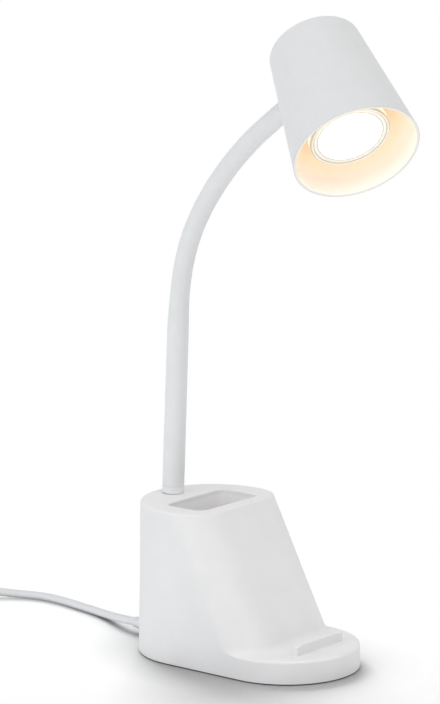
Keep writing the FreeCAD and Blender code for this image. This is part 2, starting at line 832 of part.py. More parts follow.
def lamp_shade():
    """Spun shade, closed at the top, with a hole for the arm and a fine rolled lip."""
    shell = shade_form(0, shade_top_fillet).cut(shade_form(shade_wall, shade_top_fillet - shade_wall))
    out = shade_mouth_radius - 0.3
    inner, low, high = out - shade_lip_width, 0.05, 1.1
    shell = shell.fuse(turned([(inner, low), (out, low), (out, high), (inner, high)]))
    return in_shade(shell.cut(entry_cylinder(nipple_radius + fit, 10, 10)))


def shade_saddle():
    """Spacer between the arm's collar and the shade, hollowed to the shade's curve."""
    block = entry_cylinder(saddle_radius, saddle_thickness, 2 * saddle_thickness)
    block = block.cut(shade_form(-saddle_fit, shade_top_fillet))
    return in_shade(block.cut(entry_cylinder(nipple_radius + fit, 10, 10)))


def inner_saddle():
    """Its fellow inside the shade, flat towards the bracket."""
    block = entry_cylinder(saddle_radius - 0.6, 0, shade_wall + inner_saddle_thickness)
    block = block.common(shade_form(shade_wall + saddle_fit, shade_top_fillet - shade_wall))
    return in_shade(block.cut(entry_cylinder(nipple_radius + fit, 10, 20)))


def lampholder_bracket():
    """Bent strip: one leg clamped by the arm's nut, the other over the lampholder."""
    inward = V(0, -cos(shade_cone), -sin(shade_cone))
    up = V(0, -sin(shade_cone), cos(shade_cone))
    under = bracket_top - bracket_thickness
    clamped = V(0, 0, arm_entry) - inward * (entry_depth() - shade_wall - inner_saddle_thickness)
    low = clamped - up * bracket_below
    bend = clamped + up * ((bracket_top - clamped.z) / cos(shade_cone))
    inner_bend = bend + inward * bracket_thickness
    inner_corner = inner_bend - up * ((inner_bend.z - under) / cos(shade_cone))
    outline = [
        low, bend, V(0, -bracket_tip, bracket_top), V(0, -bracket_tip, under),
        inner_corner, low + inward * bracket_thickness,
    ]
    aside = SIDE * (bracket_width / 2)
    face = Part.Face(Part.makePolygon([p - aside for p in outline + outline[:1]]))
    strip = face.extrude(SIDE * bracket_width)
    bend_edge = edges_where(strip, lambda c, b: b.XLength > bracket_width - 0.1 and (c - bend).Length < 0.2)
    strip = strip.makeFillet(bracket_bend, bend_edge)
    cuts = [entry_cylinder(nipple_radius + fit, 0, 12)]
    for side in (-1, 1):
        at = V(side * holder_screw_x, 0, under - 1)
        cuts.append(cylinder(holder_screw_radius + 0.5, bracket_thickness + 2, at))
    return in_shade(strip.cut(cuts))


def end_stack(*layers):
    """Distance along the last stretch of arm, through the shade's wall and the layers inside it."""
    return end_length + shade_wall + inner_saddle_thickness + bracket_thickness + turn_gap + sum(layers)


def on_arm_end(shape, distance):
    """Place a shape made along Z at a distance along the last stretch of arm."""
    point, angle, length = arm_line()[-1]
    return on_arm(shape, distance, angle, point)


def arm_end_fitting():
    """Collar and threaded tube at the end of the arm."""
    seat = end_length - saddle_thickness - turn_gap
    tip = end_stack(end_washer_thickness, end_nut_thickness, nipple_past)
    low = end_length - end_collar_height - saddle_thickness
    edge = 0.5
    return on_arm_end(turned([
        (nipple_bore, low), (end_collar_radius - edge, low), (end_collar_radius, low + edge),
        (end_collar_radius, seat - edge), (end_collar_radius - edge, seat), (nipple_radius, seat),
        (nipple_radius, tip), (nipple_bore, tip),
    ]), 0)


def end_washer():
    ring = cylinder(end_washer_radius, end_washer_thickness)
    ring = ring.cut(cylinder(nipple_radius + nut_fit, end_washer_thickness))
    return on_arm_end(ring, end_stack())


def end_nut():
    return on_arm_end(hexagon_nut(end_nut_thickness), end_stack(end_washer_thickness))


# ---- lampholder and spotlight -------------------------------------------------------------------
def sector(inner, outer, low, high, start, stop):
    """Part of a ring about Z, from one angle in degrees to another."""
    face = turned([(inner, low), (outer, low), (outer, high), (inner, high)])
    mask = Part.makeCylinder(outer + 5, high - low + 2, V(0, 0, low - 1), UP, stop - start)
    mask.rotate(V(0, 0, 0), UP, start)
    return face.common(mask)


def spread(radius):
    """Half the angle that a round of this radius takes up on the pin circle."""
    return degrees(2 * atan(radius / 2 / pin_circle)) + 3


def lampholder():
    """Ceramic holder: two keyhole slots, and behind them an arc for the pin heads."""
    edge, step, step_height = 0.8, 2.2, 7.0
    body = turned([
        (0, holder_bottom), (holder_radius - edge, holder_bottom), (holder_radius, holder_bottom + edge),
        (holder_radius, holder_top - step_height), (holder_radius - step, holder_top - step_height + 1.5),
        (holder_radius - step, holder_top), (0, holder_top),
    ])
    shank, head = pin_radius + pin_play, pin_head_radius + pin_play
    plate = holder_bottom + holder_plate
    cuts = []
    for locked in (0, 180):
        free = locked + bulb_turn
        cuts.append(sector(pin_circle - shank, pin_circle + shank, holder_bottom - 1, plate + 1,
                           locked - spread(shank), free + spread(shank)))
        cuts.append(sector(pin_circle - head, pin_circle + head, plate, plate + pin_head_height + 1.2,
                           locked - spread(head), free + spread(head)))
        at = V(pin_circle * cos(radians(free)), pin_circle * sin(radians(free)), holder_bottom - 1)
        cuts.append(cylinder(head, holder_plate + 2, at))
    for side in (-1, 1):
        at = V(side * holder_screw_x, 0, holder_top - holder_hole_depth)
        cuts.append(cylinder(holder_screw_radius + thread_gap, holder_hole_depth, at))
    return in_shade(body.cut(cuts))


def holder_screws():
    """Two screws down through the bracket into the holder."""
    head = 1.5
    item = screw(holder_screw_radius, holder_hole_depth, 2.6, head)
    item.rotate(V(0, 0, 0), SIDE, 180)
    level = bracket_top + head + 0.05
    screws = [item.translated(V(side * holder_screw_x, 0, level)) for side in (-1, 1)]
    return in_shade(Part.makeCompound(screws))


def bulb_body():
    """Reflector-shaped housing of the spotlight, with cooling fins towards its neck."""
    rim = bulb_face + bulb_bezel_height
    seat = bulb_lens_radius + 0.1
    neck = bulb_neck_radius
    body = turned([
        (0, bulb_face + bulb_lens_depth), (seat, bulb_face + bulb_lens_depth), (seat, bulb_face + 0.8),
        (seat + 1.3, bulb_face), (bulb_radius - 0.6, bulb_face), (bulb_radius, bulb_face + 0.6),
        (bulb_radius, rim), (bulb_radius - 1.0, rim + 1.0), (bulb_radius - 4.0, rim + 11.0),
        (neck + 4.0, rim + 24.0), (neck + 2.0, rim + 30.0), (neck + 1.2, bulb_end - 6.0),
        (neck, bulb_end - 5.0), (neck, bulb_end), (0, bulb_end),
    ])
    grooves = []
    outer = bulb_radius - 5.6
    for i in range(bulb_fins):
        groove = Part.makeBox(6, 1.4, 21, V(outer, -0.7, rim + 3.0))
        groove.rotate(V(outer, 0, rim + 3.0), BACK, -15.5)
        groove.rotate(V(0, 0, 0), UP, (i + 0.5) * 360 / bulb_fins)
        grooves.append(groove)
    return in_shade(body.cut(grooves))


def bulb_lens():
    """Stepped front lens."""
    face, back = bulb_face, bulb_face + bulb_lens_depth - 0.02
    edge = bulb_lens_radius
    return in_shade(turned([
        (0, face + 0.5), (edge - 4.6, face + 0.5), (edge - 4.2, face + 1.1), (edge - 3.4, face + 1.1),
        (edge - 3.0, face + 0.4), (edge - 1.0, face + 0.4), (edge, face + 1.0), (edge, back), (0, back),
    ]))


def bulb_pins():
    """Two locking contact pins with wide heads."""
    low = holder_bottom + holder_plate + pin_play
    high = low + pin_head_height
    edge = 0.4
    pin = turned([
        (0, bulb_end), (pin_radius, bulb_end), (pin_radius, low), (pin_head_radius, low),
        (pin_head_radius, high - edge), (pin_head_radius - edge, high), (0, high),
    ])
    return in_shade(Part.makeCompound([pin.translated(V(x, 0, 0)) for x in (-pin_circle, pin_circle)]))


# ---- mains lead ---------------------------------------------------------------------------------
def cord_coil():
    """Outer form of the coiled lead."""
    half, bottom = coil_thickness / 2, 0.05
    centre = V(coil_mid_radius, 0, bottom + half)
    section = rounded(coil_thickness, coil_thickness, coil_edge, V(0, 0, 0))
    section.rotate(V(0, 0, 0), SIDE, 90)
    section.translate(centre)
    ring = Part.Face(section).revolve(V(0, 0, 0), UP, 360)
    return ring.translated(coil_centre)


def along_lead(shape, start, end):
    """Place a shape made along +X, on the switch or plug's own line."""
    a, b = V(*start), V(*end)
    flat = V(b.x - a.x, b.y - a.y, 0)
    place = FreeCAD.Placement(V(a.x, a.y, 0), FreeCAD.Rotation(SIDE, flat))
    shape = shape.copy()
    shape.Placement = place.multiply(shape.Placement)
    return shape


def in_switch(shape):
    return along_lead(shape, lead_points[-1], mid_points[0])


def switch_middle():
    a, b = V(*lead_points[-1]), V(*mid_points[0])
    return (b - a).Length / 2


def switch_case():
    """Outer form of both halves of the inline switch."""
    middle = switch_middle()
    outline = rounded(switch_length, switch_width, switch_corner, V(middle, 0, switch_foot))
    body = prism(outline, switch_height - switch_foot)
    body = body.makeFillet(switch_edge, edges_where(body, lambda c, b: b.ZLength < 0.01))
    return body.fuse(cylinder(switch_neck_radius, 2 * middle, V(0, 0, switch_split), SIDE))


def switch_screw_places(level):
    return [V(switch_middle() + d, 0, level) for d in (-switch_screw_x, switch_screw_x)]


def switch_upper():
    """Upper half: the window for the rocker and the bearings of its pin."""
    middle = switch_middle()
    top = Part.makeBox(4 * middle, 2 * switch_width, switch_height, V(-middle, -switch_width, split_top))
    room_x = rocker_length / 2 + rocker_play + 0.3
    room_y = rocker_width / 2 + rocker_play
    room = Part.makeBox(2 * room_x, 2 * room_y, switch_height, V(middle - room_x, -room_y, split_top - 1))
    reach = rocker_width / 2 + rocker_pin_reach + 0.2
    pin = cylinder(rocker_pin_radius + fit, 2 * reach, V(middle, -reach, rocker_axis), BACK)
    holes = [
        cylinder(switch_screw_radius + thread_gap, 6, place)
        for place in switch_screw_places(split_top - 1)
    ]
    return in_switch(switch_case().common(top).cut([room, pin] + holes))


def switch_lower():
    """Lower half: a well under the rocker, and sunk holes for the screws."""
    middle = switch_middle()
    low = Part.makeBox(4 * middle, 2 * switch_width, switch_split, V(-middle, -switch_width, 0))
    corner = V(middle - rocker_length / 2, -rocker_width / 2, switch_wall)
    cuts = [Part.makeBox(rocker_length, rocker_width, switch_height, corner)]
    for place in switch_screw_places(0):
        cuts.append(cylinder(switch_screw_radius + 0.25, switch_height, place))
        cuts.append(cylinder(switch_screw_head + 0.2, switch_foot + 1.5, place))
    return in_switch(switch_case().common(low).cut(cuts))


def switch_screws():
    item = screw(switch_screw_radius, 6.5, switch_screw_head, 1.2)
    screws = [item.translated(place) for place in switch_screw_places(switch_foot + 0.25)]
    return in_switch(Part.makeCompound(screws))


def switch_rocker():
    """The rocker, tipped to its on position: a shallow V on top, round pin across."""
    x, z = rocker_length / 2, rocker_axis
    outline = [
        (-x, z - 1.5), (-x, z + 5.6), (0, z + 4.0), (x, z + 5.6), (x, z - 1.5),
        (0.4 * x, z - 3.6), (-0.4 * x, z - 3.6),
    ]
    points = [V(u, -rocker_width / 2, h) for u, h in outline]
    body = Part.Face(Part.makePolygon(points + points[:1])).extrude(V(0, rocker_width, 0))
    reach = rocker_width / 2 + rocker_pin_reach
    form = body.fuse(cylinder(rocker_pin_radius, 2 * reach, V(0, -reach, z), BACK))
    form.rotate(V(0, 0, z), BACK, rocker_tilt)
    return in_switch(form.translated(V(switch_middle(), 0, 0)))


def in_plug(shape):
    return along_lead(shape, tail_points[-1], [2 * b - a for a, b in zip(*tail_points[-2:])])


def plug_pin_places(x):
    return [V(x, side * plug_pin_spacing / 2, tail_points[-1][2]) for side in (-1, 1)]


def plug_body():
    """Flat two-pin plug, narrowing to a tapered relief round the lead."""
    level = tail_points[-1][2]
    start, front = plug_relief, plug_relief + plug_length
    half, tail = plug_width / 2, plug_tail_width / 2
    side = [(start, tail), (start + plug_shoulder, tail + 1.2), (front - plug_nose, half), (front, half)]
    outline = side + [(x, -y) for x, y in side[::-1]]
    points = [V(x, y, level - plug_height / 2) for x, y in outline]
    body = Part.Face(Part.makePolygon(points + points[:1])).extrude(V(0, 0, plug_height))
    body = body.makeFillet(plug_edge, edges_where(body, lambda c, b: b.ZLength < 0.01 and b.XLength > 1))
    relief = cone(gland_end_radius, plug_relief_radius, plug_relief + 1, V(0, 0, level), SIDE)
    roots = plug_pin_places(front - plug_pin_root)
    holes = [cylinder(plug_pin_radius, plug_pin_root, place, SIDE) for place in roots]
    return in_plug(body.fuse(relief).cut(holes))


def plug_pins():
    """Two round pins, the half next to the plug sleeved."""
    root = plug_pin_radius - thread_gap
    pin = turned([
        (0, -plug_pin_root), (root, -plug_pin_root), (root, 0), (plug_sleeve_radius, 0),
        (plug_sleeve_radius, plug_sleeve), (plug_pin_radius, plug_sleeve),
        (plug_pin_radius, plug_pin_length - 1.2), (plug_pin_radius - 1.0, plug_pin_length),
        (0, plug_pin_length),
    ])
    pin.rotate(V(0, 0, 0), BACK, 90)
    places = plug_pin_places(plug_relief + plug_length)
    return in_plug(Part.makeCompound([pin.translated(place) for place in places]))


nodes = {
    "base_housing": base_housing,
    "base_plate": base_plate,
    "rubber_foot": rubber_foot,
    "base_screws": base_screws,
    "ballast_weight": ballast_weight,
    "ballast_screws": ballast_screws,
    "terminal_block": terminal_block,
    "terminal_screws": terminal_screws,
    "cord_gland": cord_gland,
    "mains_stub": mains_stub,
    "lamp_lead": lamp_lead,
    "arm_base_fitting": arm_base_fitting,
    "arm_washer": arm_washer,
    "arm_nut": arm_nut,
    "arm_end_fitting": arm_end_fitting,
    "end_washer": end_washer,
    "end_nut": end_nut,
    "shade_saddle": shade_saddle,
    "inner_saddle": inner_saddle,
    "lamp_shade": lamp_shade,
    "lampholder_bracket": lampholder_bracket,
    "lampholder": lampholder,
    "holder_screws": holder_screws,
    "bulb_body": bulb_body,
    "bulb_lens": bulb_lens,
    "bulb_pins": bulb_pins,
    "cord_lead": lambda: cord(lead_points),
    "cord_mid": lambda: cord(mid_points),
    "cord_tail": lambda: cord(tail_points),
    "cord_coil": cord_coil,
    "switch_upper": switch_upper,
    "switch_lower": switch_lower,
    "switch_rocker": switch_rocker,
    "switch_screws": switch_screws,
    "plug_body": plug_body,
    "plug_pins": plug_pins,
}

os.makedirs("parts", exist_ok=True)
for name, make in nodes.items():
    make().exportStep(f"parts/{name}.step")
for i in range(len(bends) + 1):
    arm_core(i).exportStep(f"parts/arm_core_{i}.step")
    arm_sleeve(i).exportStep(f"parts/arm_sleeve_{i}.step")

origin, direction, angle = entry_frame()
print("arm joints", [[round(c, 3) for c in p[0]] + [round(p[1], 2)] for p in arm_line()])
print("arm end", origin, direction)
print("shade frame", shade_placement())
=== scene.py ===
import math

import bpy
import numpy as np
from mathutils import Euler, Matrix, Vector
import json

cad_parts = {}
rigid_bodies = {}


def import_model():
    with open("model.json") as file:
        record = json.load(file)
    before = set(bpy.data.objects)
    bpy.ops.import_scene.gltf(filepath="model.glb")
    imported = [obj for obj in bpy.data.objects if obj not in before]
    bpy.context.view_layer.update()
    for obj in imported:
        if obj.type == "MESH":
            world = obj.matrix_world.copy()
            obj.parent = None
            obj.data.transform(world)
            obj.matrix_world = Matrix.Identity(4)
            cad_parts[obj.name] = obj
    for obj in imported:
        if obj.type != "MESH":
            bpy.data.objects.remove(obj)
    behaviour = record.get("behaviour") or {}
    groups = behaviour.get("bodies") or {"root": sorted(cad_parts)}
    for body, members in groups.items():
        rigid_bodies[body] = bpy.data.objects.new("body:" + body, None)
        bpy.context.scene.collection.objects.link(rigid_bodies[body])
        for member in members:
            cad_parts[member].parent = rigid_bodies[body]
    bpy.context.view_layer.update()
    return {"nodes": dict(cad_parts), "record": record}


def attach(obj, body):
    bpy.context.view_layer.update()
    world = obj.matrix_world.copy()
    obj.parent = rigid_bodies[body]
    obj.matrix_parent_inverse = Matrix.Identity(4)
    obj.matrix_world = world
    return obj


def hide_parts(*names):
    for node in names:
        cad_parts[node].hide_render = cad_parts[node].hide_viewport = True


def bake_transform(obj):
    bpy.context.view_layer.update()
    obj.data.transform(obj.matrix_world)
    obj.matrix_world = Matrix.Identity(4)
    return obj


MM = 0.001

for stray in list(bpy.data.objects):
    bpy.data.objects.remove(stray)

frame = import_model()
node_of = frame["nodes"]
scene = bpy.context.scene

# ---- places and sizes taken from the part, in millimetres ----------------------------------------
BODY_HEIGHT = 98.6
POCKET_LENGTH = 58.9
POCKET_WIDTH = 30.5
POCKET_Y = 29.8

ARM_FOOT = (0.0, 62.123, 98.6)
# (y, z) of the nine joints of the arm, and its tilt in degrees before each and after the last
ARM_JOINTS = [
    (57.182, 216.496), (55.582, 233.421), (52.426, 250.125), (47.172, 266.293), (39.587, 281.507),
    (30.378, 295.797), (19.912, 309.193), (8.427, 321.727), (-3.945, 333.386),
]
ARM_TILTS = [2.4, 5.4, 10.7, 18.0, 26.5, 32.8, 38.0, 42.5, 46.7, 52.0]
POST_LENGTH = 118.0
LINK_PITCH = 17.0
HALF_BEND = 8.5
SLEEVE_START = 5.35
SLEEVE_END = 31.25
SLEEVE_BORE = 4.62
# (distance along the arm, outer radius of the sleeve)
SLEEVE_SHAPE = [(0.0, 7.1), (104.0, 6.9), (134.0, 6.2), (170.0, 6.2), (254.0, 6.35), (300.0, 6.35)]

# middle of the shade's mouth, and the turn that stands the shade's own Z up its axis
SHADE_PLACE = (-24.5605, -100.83, 334.205)
SHADE_TURN = [math.radians(angle) for angle in (-47.3089, 17.6276, -14.3741)]
SHADE_MOUTH_RADIUS = 39.45
SHADE_TOP_RADIUS = 28.6
SHADE_LENGTH = 87.5
BULB_FACE = 12.35  # from the mouth up to the spotlight's front
LENS_RADIUS = 21.6
LENS_DEPTH = 2.38

LEAD_RADIUS = 2.7
LEAD_EXIT = (0.0, 95.0, 7.0)
LEAD_RUN = [
    (0.0, 91.5, 7.0), (0.0, 95.0, 7.0), (1.6, 104.0, 6.6), (5.0, 113.5, 5.5), (9.6, 123.0, 4.1),
    (13.8, 133.5, 3.1), (17.0, 145.5, 2.75), (20.2, 161.5, 2.75), (23.0, 178.0, 2.75),
    (23.6, 191.5, 2.75), (21.2, 203.5, 2.75), (15.6, 214.5, 3.1), (9.4, 224.2, 4.2),
    (3.6, 233.5, 5.0),
]
SWITCH_RUN = [
    (-24.3, 279.1, 5.0), (-27.7, 284.7, 5.0), (-29.9, 291.0, 4.2), (-32.6, 297.8, 3.2),
    (-35.9, 304.2, 2.75), (-40.2, 309.6, 2.75),
]
PLUG_RUN = [
    (-96.6, 260.6, 8.2), (-91.4, 257.0, 8.1), (-87.0, 253.7, 7.8), (-82.6, 250.1, 7.3),
    (-78.4, 246.0, 7.0), (-76.3, 243.9, 7.0),
]
COIL_CENTRE = (-70.6, 287.7)
COIL_RADII = (26.45, 31.9, 37.35)
COIL_LEVELS = (2.75, 8.2, 13.65)
TIE_ANGLE = 130.0


# ---- surfaces ------------------------------------------------------------------------------------
def grid_faces(rows, columns, round_rows=False):
    """Quads (i, j), (i, j+1), (i+1, j+1), (i+1, j) of a grid whose columns close into rings.

    With round_rows the last ring is joined to the first."""
    i = np.arange(rows if round_rows else rows - 1)
    j = np.arange(columns)
    i, j = np.meshgrid(i, j, indexing="ij")
    after_i, after_j = (i + 1) % rows, (j + 1) % columns
    corners = (
        i * columns + j, i * columns + after_j, after_i * columns + after_j, after_i * columns + j
    )
    return np.stack(corners, axis=-1).reshape(-1, 4)


def enclosed(points, faces):
    """Six times the volume that the faces enclose: the sum of a . (b x c) over their triangles."""
    a, b, c = points[faces[:, 0]], points[faces[:, 1]], points[faces[:, 2]]
    total = np.einsum("ij,ij->i", a, np.cross(b, c)).sum()
    if faces.shape[1] == 4:
        d = points[faces[:, 3]]
        total += np.einsum("ij,ij->i", a, np.cross(c, d)).sum()
    return total


def make_piece(name, points, face_sets, finish, sharp=40.0):
    """A mesh object from points in metres and sets of triangles or quads.

    Its faces are turned outward, and edges over sharp degrees stay sharp."""
    if sum(enclosed(points, faces) for faces in face_sets) < 0:
        face_sets = [faces[:, ::-1] for faces in face_sets]
    all_faces = [face for faces in face_sets for face in faces.tolist()]
    mesh = bpy.data.meshes.new(name)
    mesh.from_pydata(points.tolist(), [], all_faces)
    mesh.polygons.foreach_set("use_smooth", np.ones(len(mesh.polygons), bool))
    mesh.set_sharp_from_angle(angle=math.radians(sharp))
    mesh.materials.append(finish.material)
    piece = bpy.data.objects.new(name, mesh)
    scene.collection.objects.link(piece)
    return piece


def swept_ring(name, rings, finish, sharp=40.0):
    """A closed shell from a grid of rings, the last joined to the first, as a tube and its bore."""
    rows, columns = rings.shape[:2]
    faces = grid_faces(rows, columns, round_rows=True)
    return make_piece(name, rings.reshape(-1, 3) * MM, [faces], finish, sharp)


def capped(name, rings, finish, sharp=40.0):
    """A closed shell from a grid of rings, each end drawn in to the middle of its end ring."""
    rows, columns = rings.shape[:2]
    points = np.vstack([rings.reshape(-1, 3), rings[0].mean(0), rings[-1].mean(0)]) * MM
    start, end = rows * columns, rows * columns + 1
    j = np.arange(columns)
    after = (j + 1) % columns
    last = (rows - 1) * columns
    first_cap = np.stack([np.full(columns, start), after, j], axis=-1)
    last_cap = np.stack([np.full(columns, end), last + j, last + after], axis=-1)
    return make_piece(
        name, points, [grid_faces(rows, columns), first_cap, last_cap], finish, sharp
    )


def turned(profile, origin, axis, across, count):
    """Rings of a profile of (radius, height) turned about an axis.

    A point is origin + height axis + radius (cos a across + sin a other)."""
    profile = np.asarray(profile, float)
    axis, across = np.asarray(axis, float), np.asarray(across, float)
    other = np.cross(axis, across)
    angle = np.linspace(0, 2 * np.pi, count, endpoint=False)
    spoke = np.cos(angle)[:, None] * across + np.sin(angle)[:, None] * other
    radius, height = profile[:, 0, None, None], profile[:, 1, None, None]
    return np.asarray(origin) + height * axis + radius * spoke


def smoothstep(t):
    """Rises from 0 to 1 as t does, level at both ends: t squared times (3 - 2t)."""
    t = np.clip(t, 0, 1)
    return t * t * (3 - 2 * t)


# ---- finishes ------------------------------------------------------------------------------------
class Finish:
    """One material: a Principled shader whose patterns are read from the object's own coordinates.

    Sizes of patterns are in metres."""

    def __init__(self, name, roughness, metallic=0.0, **sockets):
        self.material = bpy.data.materials.new(name)
        self.material.use_nodes = True
        tree = self.material.node_tree
        self.nodes, self.links = tree.nodes, tree.links
        self.shader = self.nodes["Principled BSDF"]
        self.shader.inputs["Roughness"].default_value = roughness
        self.shader.inputs["Metallic"].default_value = metallic
        for key, value in sockets.items():
            self.shader.inputs[key.replace("_", " ")].default_value = value
        self.place = self.node("TexCoord").outputs["Object"]
        self.normal = None

    def node(self, kind, **settings):
        made = self.nodes.new("ShaderNode" + kind)
        for key, value in settings.items():
            setattr(made, key, value)
        return made

    def feed(self, socket, value):
        """Links an output to a socket, or sets the socket to a plain value."""
        if isinstance(value, bpy.types.NodeSocket):
            self.links.new(value, socket)
        else:
            socket.default_value = value

    def math(self, operation, a, b=0.0):
        made = self.node("Math", operation=operation)
        self.feed(made.inputs[0], a)
        self.feed(made.inputs[1], b)
        return made.outputs[0]

    def product(self, *factors):
        """All the factors multiplied together."""
        total = factors[0]
        for factor in factors[1:]:
            total = self.math("MULTIPLY", total, factor)
        return total

    def within(self, value, limit):
        """1 where the value lies between minus the limit and the limit, and 0 past it."""
        return self.math("LESS_THAN", self.math("ABSOLUTE", value), limit)

    def off_line(self, value, line, dark, clear):
        """0 on a line of half width dark round the value line, rising to 1 at clear from it."""
        distance = self.math("ABSOLUTE", self.math("SUBTRACT", value, line))
        return self.span(distance, 0.0, 1.0, dark, clear)

    def stretched(self, scale):
        made = self.node("Mapping")
        self.feed(made.inputs["Vector"], self.place)
        made.inputs["Scale"].default_value = scale
        return made.outputs[0]

    def cloud(self, size, detail=3.0, place=None):
        """Soft noise whose patches are about size across."""
        made = self.node("TexNoise")
        self.feed(made.inputs["Vector"], place or self.place)
        made.inputs["Scale"].default_value = 1 / size
        made.inputs["Detail"].default_value = detail
        return made.outputs["Fac"]

    def cells(self, size):
        """Distance to the nearest of scattered points about size apart."""
        made = self.node("TexVoronoi")
        self.feed(made.inputs["Vector"], self.place)
        made.inputs["Scale"].default_value = 1 / size
        return made.outputs["Distance"]

    def span(self, value, low, high, start=0.0, end=1.0):
        """Rescales start..end to low..high."""
        made = self.node("MapRange", clamp=True)
        self.feed(made.inputs["Value"], value)
        settings = (start, end, low, high)
        for key, setting in zip(("From Min", "From Max", "To Min", "To Max"), settings):
            made.inputs[key].default_value = setting
        return made.outputs["Result"]

    def blend(self, factor, a, b):
        """Colour a where the factor is 0 and b where it is 1."""
        made = self.node("Mix", data_type="RGBA")
        self.feed(made.inputs["Factor"], factor)
        for index, colour in ((6, a), (7, b)):
            self.feed(made.inputs[index], (*colour, 1.0) if isinstance(colour, tuple) else colour)
        return made.outputs[2]

    def choose(self, factor, a, b):
        """Number a where the factor is 0 and b where it is 1."""
        made = self.node("Mix", data_type="FLOAT")
        for index, value in enumerate((factor, None, a, b)):
            if value is not None:
                self.feed(made.inputs[index], value)
        return made.outputs[0]

    def patches(self, size, low, high, detail=4):
        """Colour that drifts from low to high in patches about size across."""
        return self.blend(self.span(self.cloud(size, detail), 0, 1, 0.35, 0.65), low, high)

    def colour(self, value):
        self.feed(self.shader.inputs["Base Color"], value)

    def painted(self):
        """The output that feeds the base colour so far."""
        return self.shader.inputs["Base Color"].links[0].from_socket

    def rough(self, size, low, high, detail=5):
        """Roughness that drifts from low to high in patches about size across."""
        value = self.span(self.cloud(size, detail), low, high, 0.3, 0.7)
        self.feed(self.shader.inputs["Roughness"], value)

    def relief(self, height, depth):
        """Adds a bump of the given depth over those already there."""
        made = self.node("Bump")
        made.inputs["Strength"].default_value = 1.0
        made.inputs["Distance"].default_value = depth
        self.feed(made.inputs["Height"], height)
        if self.normal is not None:
            self.feed(made.inputs["Normal"], self.normal)
        self.normal = made.outputs["Normal"]
        self.feed(self.shader.inputs["Normal"], self.normal)

    def glow(self, colour, strength):
        self.feed(self.shader.inputs["Emission Color"], colour)
        self.feed(self.shader.inputs["Emission Strength"], strength)

    def radius_and_height(self):
        """Distance from the shade's axis, and height above its mouth."""
        own = self.node("Mapping", vector_type="TEXTURE")
        self.feed(own.inputs["Vector"], self.place)
        own.inputs["Location"].default_value = [value * MM for value in SHADE_PLACE]
        own.inputs["Rotation"].default_value = SHADE_TURN
        flat = self.node("VectorMath", operation="MULTIPLY")
        self.feed(flat.inputs[0], own.outputs[0])
        flat.inputs[1].default_value = (1, 1, 0)
        length = self.node("VectorMath", operation="LENGTH")
        self.feed(length.inputs[0], flat.outputs[0])
        parts = self.node("SeparateXYZ")
        self.feed(parts.inputs[0], own.outputs[0])
        return length.outputs["Value"], parts.outputs["Z"]


def shades_of(colour, amount):
    """The colour a little darker and a little lighter."""
    darker = tuple(c * (1 - amount) for c in colour)
    return darker, tuple(min(1.0, c * (1 + amount)) for c in colour)


def moulded(name, colour, roughness, grain=0.0005, depth=0.00003, **sockets):
    """Moulded plastic: an even colour with faint clouding, and the fine grain of its mould."""
    finish = Finish(name, roughness, **sockets)
    finish.colour(finish.patches(0.018, *shades_of(colour, 0.012)))
    finish.rough(0.006, roughness - 0.05, roughness + 0.05)
    finish.relief(finish.cloud(grain, 4), depth)
    return finish


def housing_coat():
    """The base's white plastic, with painted light: the walls inside the pen pocket are lighter."""
    finish = moulded("housing_plastic", (0.800, 0.803, 0.806), 0.52, Specular_IOR_Level=0.45)
    outside = finish.painted()
    margin = 0.6  # past the pocket's walls, so that the painted light covers them whole
    painted_light_full, painted_light_start = BODY_HEIGHT - 4.0, BODY_HEIGHT - 0.9
    shift = finish.node("VectorMath", operation="SUBTRACT")
    finish.feed(shift.inputs[0], finish.place)
    shift.inputs[1].default_value = (0, POCKET_Y * MM, 0)
    parts = finish.node("SeparateXYZ")
    finish.feed(parts.inputs[0], shift.outputs[0])
    across = finish.within(parts.outputs["X"], (POCKET_LENGTH / 2 + margin) * MM)
    along = finish.within(parts.outputs["Y"], (POCKET_WIDTH / 2 + margin) * MM)
    deep = finish.span(parts.outputs["Z"], 1, 0, painted_light_full * MM, painted_light_start * MM)
    # painted light: the pocket's walls, which lie in shade, get a lighter colour than the plastic
    pocket = finish.product(across, along, deep)
    finish.colour(finish.blend(pocket, outside, (0.93, 0.925, 0.925)))
    return finish


def brushed(name, colour, roughness, along=(1, 1, 0.04), depth=0.00002):
    """Bright drawn or turned metal, with fine lines one way and slight blotches."""
    finish = Finish(name, roughness, metallic=1.0)
    lines = finish.cloud(0.00025, 3, finish.stretched(along))
    finish.colour(finish.blend(finish.span(lines, 0, 1, 0.3, 0.7), *shades_of(colour, 0.08)))
    finish.rough(0.003, roughness - 0.06, roughness + 0.1, 4)
    finish.relief(lines, depth)
    return finish


def zinc_plate():
    """Zinc-plated steel with a faint spangle of crystal cells."""
    finish = Finish("zinc_plate", 0.34, metallic=1.0)
    spangle = finish.span(finish.cells(0.0028), 0, 1, 0.1, 0.8)
    finish.colour(finish.blend(spangle, (0.60, 0.60, 0.61), (0.72, 0.72, 0.70)))
    finish.rough(0.0015, 0.26, 0.44, 4)
    finish.relief(finish.cloud(0.0006, 3), 0.00003)
    return finish


def spring_steel():
    """The gooseneck's wound wire: rounded turns, painted light on their crowns and dark between."""
    finish = Finish("spring_steel", 0.35, metallic=1.0)
    wave = finish.node("TexWave", bands_direction="Z", wave_profile="SIN")
    finish.feed(wave.inputs["Vector"], finish.place)
    wave.inputs["Scale"].default_value = 140.0
    turns = wave.outputs["Fac"]
    # painted highlight and shade: the colour is light on the crowns of the turns and dark in the
    # grooves between
    finish.colour(finish.blend(turns, (0.30, 0.30, 0.31), (0.62, 0.62, 0.63)))
    finish.rough(0.002, 0.28, 0.45, 4)
    finish.relief(turns, 0.0005)
    return finish


